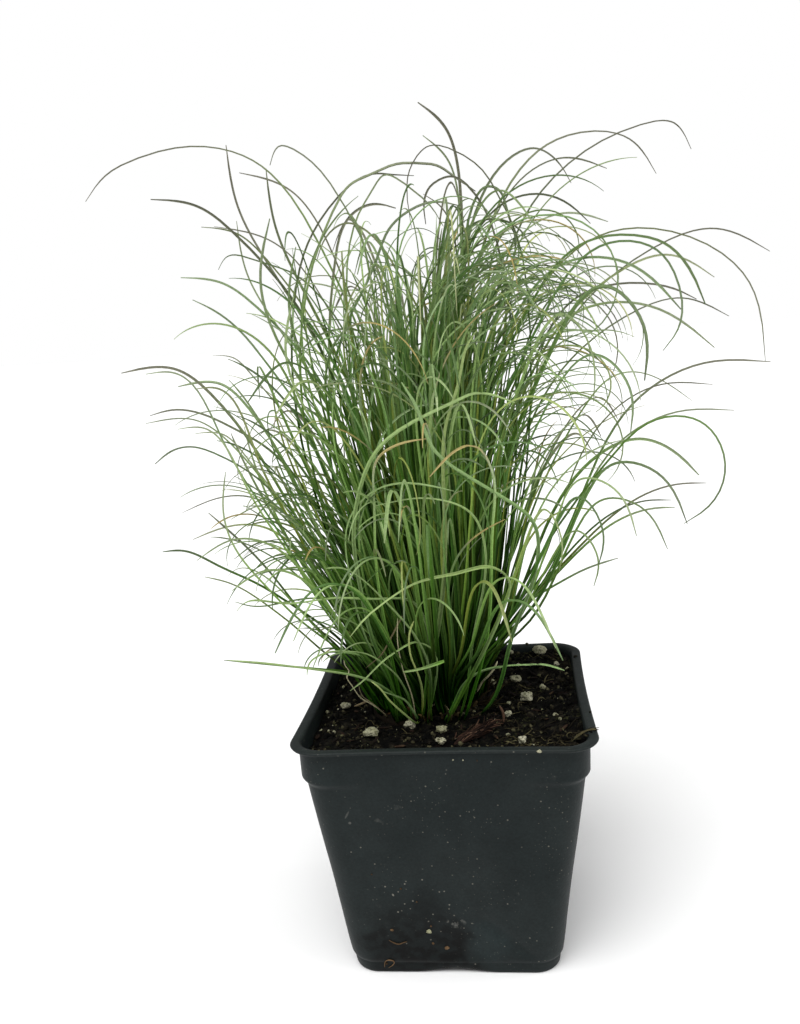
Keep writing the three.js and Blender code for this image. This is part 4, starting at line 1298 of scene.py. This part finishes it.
def filling_leaves(index, random):
    """The same for the leaves that fill a shoot out. They come in a few tillers, whose leaves share
    much of their way, place and tilt. One that would leave the clump's outline is made smaller."""
    ring = RINGS[RING_ORDER[index % 4]]
    inside = ring is not RINGS["outer"]
    way = index * SHOOT_TURN
    leftward, rightward = np.maximum([-np.cos(np.radians(way)), np.cos(np.radians(way))], 0)
    count = ring["count"] + round(LEFT_LEAVES * leftward * inside)
    bunch = random.normal(0, 1, (4, TILLERS))[:, random.integers(0, TILLERS, count)]
    spread = random.normal(0, 1, (8, count))
    way_off, reach_off, place_off, tilt_off = (
        together * shared + alone * own for (together, alone), shared, own in zip(SCATTER, bunch, spread))
    own_way = way + way_off
    own_reach = np.clip(ring["reach"] + reach_off, *FOOT_LIMITS)
    foot = crown_foot(way + place_off, own_reach, LEAF_FOOT)
    tilt = (ring["lean"][0] + ring["lean"][1] * tilt_off) * (1 + LEFT_TILT * leftward * inside)
    lean = level_arrow(own_way, np.maximum(tilt, 0)) * (1, FRONT_AND_BACK)
    lean = lean + (np.radians(ring["lean_right"]), 0)
    arch_way = own_way + ring["aside"] * spread[4]
    arch = level_arrow(arch_way, np.clip(ring["arch"][0] + ring["arch"][1] * spread[5], *ARCH_LIMITS))
    arch = arch + (np.radians(ring["arch_right"]), 0)
    curl = level_arrow(arch_way + CURL_ASIDE * spread[6], random.uniform(0, CURL_MOST, count))
    length = np.clip(ring["length"][0] + ring["length"][1] * spread[7], *LENGTH_LIMITS)
    length = length * (1 + RIGHT_LENGTH * rightward)
    begins = random.uniform(*ring["begins"], count) + RIGHT_BEGINS * rightward * (not inside)
    lines = grown_leaves(foot, lean, arch, begins, curl, length)
    rise = lines[..., 2].max(axis=1) - LEAF_FOOT
    out = np.linalg.norm(lines[..., :2] - foot[:, None, :2], axis=-1).max(axis=1)
    below = np.where(arch[:, 0] > 0, *BELOW) * random.uniform(0, 1, count) ** 0.6
    within = random.uniform(0, WITHIN[0] + WITHIN[1] * leftward, count)
    room = np.minimum((TALLEST - LEAF_FOOT - below) / rise, (WIDEST - own_reach - within) / out)
    shrink = np.minimum(room, 1)
    lines = foot[:, None, :] + (lines - foot[:, None, :]) * shrink[:, None, None]
    ways = np.degrees(np.arctan2(arch[:, 1], arch[:, 0]))
    widths = np.clip(scattered_widths(random, *FILL_WIDTH, count), *FILL_WIDTH_LIMITS)
    tones = random.uniform(0, ring["tone"], count)
    far = smooth(*FAR, out * shrink) * (1 - frontward(ways))
    ages = np.minimum(random.uniform(0, FILL_OLDEST, count) + FAR_OLDER * far, OLDEST_LIVE)
    ages = np.where(random.uniform(0, 1, count) < DEAD_SHARE, DEAD, ages)
    return gathered(lines), ways, widths, tones, ages


leaf_material = leaf_finish()
for index in range(SHOOT_COUNT):
    node = f"shoot_{index + 1:02d}"
    random = np.random.default_rng(500 + index)
    routed, filling = routed_leaves(index, random), filling_leaves(index, random)
    lines, ways, widths, tones, ages = (np.concatenate(both) for both in zip(routed, filling))
    twists = random.normal(0, TWIST, len(lines))
    tapers = np.repeat(TAPERS, [len(routed[0]), len(filling[0])])
    leaves = add_leaves(f"leaves_{index + 1:02d}", lines, ways, widths, twists, tapers, tones, ages)
    leaves.data.materials.append(leaf_material)
    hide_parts(node)
    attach(leaves, "root")


# Crown
# The crown is the low pad that every shoot grows from. Old sheaths ring it, dead and papery, brown
# to straw, a few millimetres tall. It grew as one with the shoots and sits in the mix.

PAD_LEVEL = 84.4
PAD_FLOOR = 79.6
SHEATH_COUNT = 60
SHEATH_REACHES = (18.3, 13.0)
# REDDEST_AND_LIT_WAY is the way, in radians, where the sheaths are painted reddest and lightest
REDDEST_AND_LIT_WAY = 3.6


def make_pad():
    """A low pad with the crown's outline: rings out from its middle over the top and down its side,
    where they draw in a little, and lifted by noise on top."""
    steps, sides = 14, 72
    flat = np.linspace(0.04, 1, steps) * (CROWN_RADIUS - 0.6)
    radius = np.concatenate([flat, CROWN_RADIUS - np.array([0.3, 0.4, 1.6])])
    drop = np.concatenate([np.zeros(steps), [1.2, 3.8, PAD_LEVEL - PAD_FLOOR]])[:, None]
    angle = round_turn(sides)[None, :]
    reach = radius[:, None] * crown_share(CROWN_X + np.cos(angle), CROWN_Y + np.sin(angle))
    x, y = CROWN_X + reach * np.cos(angle), CROWN_Y + reach * np.sin(angle)
    spots = np.dstack([x, y, np.zeros_like(x)])
    lift = 0.5 * lattice_noise(spots, 3.0, 31) + 0.35 * lattice_noise(spots, 1.2, 32)
    points = np.dstack([x, y, PAD_LEVEL - drop + lift * (drop < 3)])
    rings = len(radius)
    faces, caps = ring_faces(rings, sides)[:, ::-1], [ring[::-1] for ring in end_rings(rings, sides)]
    pad = add_mesh("crown_pad", points.reshape(-1, 3), faces, caps=caps)
    keep_attribute(pad, "shade", np.full(rings * sides, 0.25))
    return pad


def sheath_finish():
    """Old sheath: red-brown at the foot, straw at the torn end, streaked along. A dead blade, whose
    age is one, is brown to pale beige all along."""
    material, start = finish_named("old_sheath")
    along, tone, age = start.attribute("along"), start.attribute("tone"), start.attribute("age")
    brown = tone.mix((0.006, 0.005, 0.003), (0.080, 0.034, 0.010))
    straw = tone.mix((0.022, 0.022, 0.009), (0.240, 0.140, 0.050))
    blend = (along * 0.9 + start.noise(700, 4) * 0.5 - 0.2).step(0.1, 0.9)
    grain = start.noise(1500, 4)
    dead = tone.mix((0.080, 0.055, 0.018), (0.620, 0.580, 0.360)).times(grain * 0.8 + 0.6)
    surface(start, {
        "Base Color": age.mix(blend.mix(brown, straw), dead), "Roughness": grain * 0.1 + 0.72,
        "Normal": start.bump(grain, 0.6, 0.0003), "Specular IOR Level": 0.15,
    })
    return material


pad = make_pad()
pad.data.materials.append(crumb_finish("crown_pad", [
    (0.10, (0.0030, 0.0022, 0.0012)), (0.60, (0.0130, 0.0085, 0.0045)), (0.97, (0.0500, 0.0350, 0.0180)),
], 1200, 0.0005))
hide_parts("crown")

random = np.random.default_rng(21)
angle = np.sort(random.uniform(0, 360, SHEATH_COUNT))
reach = np.where(random.uniform(0, 1, SHEATH_COUNT) < 0.7, *SHEATH_REACHES)
reach = reach + random.normal(0, 0.8, SHEATH_COUNT)
feet = crown_foot(angle, reach, PAD_LEVEL - 0.9)
lean = level_arrow(angle, random.normal(24, 10, SHEATH_COUNT))
arch = level_arrow(angle + random.normal(0, 40, SHEATH_COUNT), random.uniform(0, 75, SHEATH_COUNT))
curl = level_arrow(random.uniform(0, 360, SHEATH_COUNT), random.uniform(0, 60, SHEATH_COUNT))
lines = grown_leaves(feet, lean, arch, np.zeros(SHEATH_COUNT), curl, random.uniform(3, 9, SHEATH_COUNT))
# Painted light and shade: sheaths towards the front left, where red-brown ones show and the key light falls,
# are painted lighter and redder; the rest are painted dark, as in the clump's shade
ruddy_and_lit = np.maximum(np.cos(np.radians(angle) - REDDEST_AND_LIT_WAY), 0) ** 3
lit = random.uniform(0, 1, SHEATH_COUNT) * 0.2 + 0.8 * ruddy_and_lit
sheaths = add_leaves("old_sheaths", gathered(lines), angle, random.uniform(0.8, 2.2, SHEATH_COUNT),
                     random.normal(0, 60, SHEATH_COUNT), np.full(SHEATH_COUNT, 0.5), lit, lit * 0)
sheath_material = sheath_finish()
sheaths.data.materials.append(sheath_material)

# Dead blades that hang at the front of the clump's foot: width, tone, then points in millimetres
DEAD_BLADES = [
    (0.6, 0.95, [(-22, -8, 84.4), (-24.6, -11, 88.6), (-27.6, -12, 91.4), (-30.1, -13.5, 93.8),
        (-31.7, -15.5, 97.1), (-33, -17.5, 101), (-33.8, -19.5, 104.4), (-32.7, -21, 107.2),
        (-33.5, -22.5, 109.6), (-33.6, -24, 112.3)]),
    (0.5, 0.35, [(-22, -9, 84.4), (-25.5, -12, 90.2), (-28.7, -13, 93.4), (-29.9, -14, 95.3),
        (-30.4, -16, 99.6)]),
    (0.6, 0.15, [(-11.7, -31, 129.7), (-14.9, -30, 123.9), (-18, -29, 118.4), (-20.4, -28, 114.9),
        (-23.4, -27.5, 112.3), (-25.7, -27, 110.3)]),
    (0.5, 0.75, [(-11.4, -12, 84.4), (-11.4, -15, 91.2), (-11.9, -17, 96.9), (-13, -20, 103.3),
        (-13.6, -22, 107.4), (-14, -25, 113.3), (-14.2, -27, 118.3), (-13.6, -30, 125.6),
        (-13.2, -31, 129.1)]),
    (0.9, 1.0, [(9, 7, 84.4), (13, -1, 94.5), (15.8, -6, 99), (17.3, -7, 101.3), (18.7, -8, 104.6)]),
    (0.9, 0.6, [(-7, 0, 84.3), (-4.2, -1.1, 86.3), (-1.6, -3.5, 86.5), (0.1, -4.2, 84.8)]),
]
# Green blades that were cut, and short ones, in the same way
CUT_BLADES = [
    (1.3, 0.9, [(1.4, -31, 113.6), (-3.4, -31, 112), (-8.5, -31, 110.7), (-12.6, -31, 110.1)]),
    (0.9, 0.95, [(-9, -11, 84.4), (-8, -16, 93.8), (-8, -19, 101), (-9.3, -23, 108.8), (-10.2, -25, 113.1),
        (-10.4, -27, 118.2), (-9.1, -30, 125.1), (-7.8, -31, 127.9)]),
    (1.05, 0.81, [(-10, -12, 84.4), (-11.6, -22, 88.9), (-15.3, -24.5, 93.8), (-19.2, -27, 99.7),
        (-21.4, -29, 104.2), (-23.8, -30, 106.8)]),
    (1.1, 0.69, [(-11, -11, 84.4), (-11, -17, 89), (-12.4, -19, 92.9), (-14.1, -21, 96.4),
        (-17.8, -23.5, 99.3), (-20.7, -25, 101.1)]),
]
extra = []
for name, blades, age, material in (("dead_blades", DEAD_BLADES, DEAD, sheath_material),
                                    ("cut_blades", CUT_BLADES, CUT_BRIGHT, leaf_material)):
    lines = np.array([curve_through(points, FINE + 1) for _, _, points in blades])
    widths, tones = np.array([blade[:2] for blade in blades]).T
    same = np.ones(len(blades))
    piece = add_leaves(name, lines, same * -90, widths, same * 30, same * 0.3, tones, same * age)
    piece.data.materials.append(material)
    extra.append(piece)
for piece in (pad, sheaths, *extra):
    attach(piece, "root")


# Studio
# The plant stands on a plain white table under a large soft light, with white all round it, as a
# cut-out picture has. The camera stands where the photo was taken from, a little above the pot.

CAMERA_AZIMUTH = 6.42
CAMERA_ELEVATION = 11.61
CAMERA_ROLL = -3.71
CAMERA_AT = (0.02553, -0.34762, 0.23045)
FOCAL_PIXELS = 1002.0
FRAME_HEIGHT_PIXELS = 1024
SENSOR = 36.0
ROOM_LIGHT = 0.40
FLOOR_HALF = 6.0


def make_floor():
    """A flat square table round the origin."""
    corners = np.array([(-1, -1, 0), (1, -1, 0), (1, 1, 0), (-1, 1, 0)]) * FLOOR_HALF / MM
    floor = add_mesh("table", corners, [(0, 1, 2, 3)])
    material, start = finish_named("table_white")
    surface(start, {"Base Color": (0.92, 0.92, 0.92, 1), "Roughness": 0.8})
    floor.data.materials.append(material)


def make_light(name, azimuth, elevation, softness, strength):
    """A far, soft lamp: it shines from a compass way and height in degrees, as wide as its softness."""
    lamp = bpy.data.lights.new(name, "SUN")
    lamp.angle, lamp.energy = np.radians(softness), strength
    holder = bpy.data.objects.new(name, lamp)
    a, e = np.radians([azimuth, elevation])
    toward = Vector((np.cos(a) * np.cos(e), np.sin(a) * np.cos(e), np.sin(e)))
    holder.rotation_euler = toward.to_track_quat("Z", "Y").to_euler()
    bpy.context.scene.collection.objects.link(holder)


def make_camera():
    """Turns the camera by its compass way, height and roll, with a lens for its focal length."""
    azimuth, elevation, roll = np.radians([CAMERA_AZIMUTH, CAMERA_ELEVATION, CAMERA_ROLL])
    level = np.cos(elevation)
    back = Vector((np.sin(azimuth) * level, -np.cos(azimuth) * level, np.sin(elevation)))
    right = Vector((0, 0, 1)).cross(back).normalized()
    up = back.cross(right)
    turned = Matrix.Rotation(roll, 3, back)
    axes = Matrix((turned @ right, turned @ up, back)).transposed()
    lens = bpy.data.cameras.new("camera")
    lens.sensor_fit, lens.sensor_height, lens.sensor_width = "VERTICAL", SENSOR, SENSOR
    lens.lens = FOCAL_PIXELS / FRAME_HEIGHT_PIXELS * SENSOR
    lens.clip_start = 0.01
    camera = bpy.data.objects.new("camera", lens)
    camera.matrix_world = Matrix.Translation(CAMERA_AT) @ axes.to_4x4()
    bpy.context.scene.collection.objects.link(camera)
    bpy.context.scene.camera = camera


def make_world():
    """White to the eye, as round a cut-out, while it lights the plant as a soft grey room."""
    world = bpy.data.worlds.new("white_room")
    world.use_nodes = True
    world.node_tree.nodes.clear()
    start = Value(world.node_tree)
    seen = start.node("LightPath", {}, {}, out=0)
    strength = seen * (1 - ROOM_LIGHT) + ROOM_LIGHT
    room = start.node("Background", {}, {"Color": (1, 1, 1, 1), "Strength": strength})
    output = world.node_tree.nodes.new("ShaderNodeOutputWorld")
    world.node_tree.links.new(room.socket, output.inputs["Surface"])
    bpy.context.scene.world = world


make_floor()
make_light("key", azimuth=246, elevation=62, softness=46, strength=2.9)
make_light("side", azimuth=352, elevation=30, softness=50, strength=0.9)
make_world()
bpy.context.scene.view_settings.view_transform = "Standard"
make_camera()
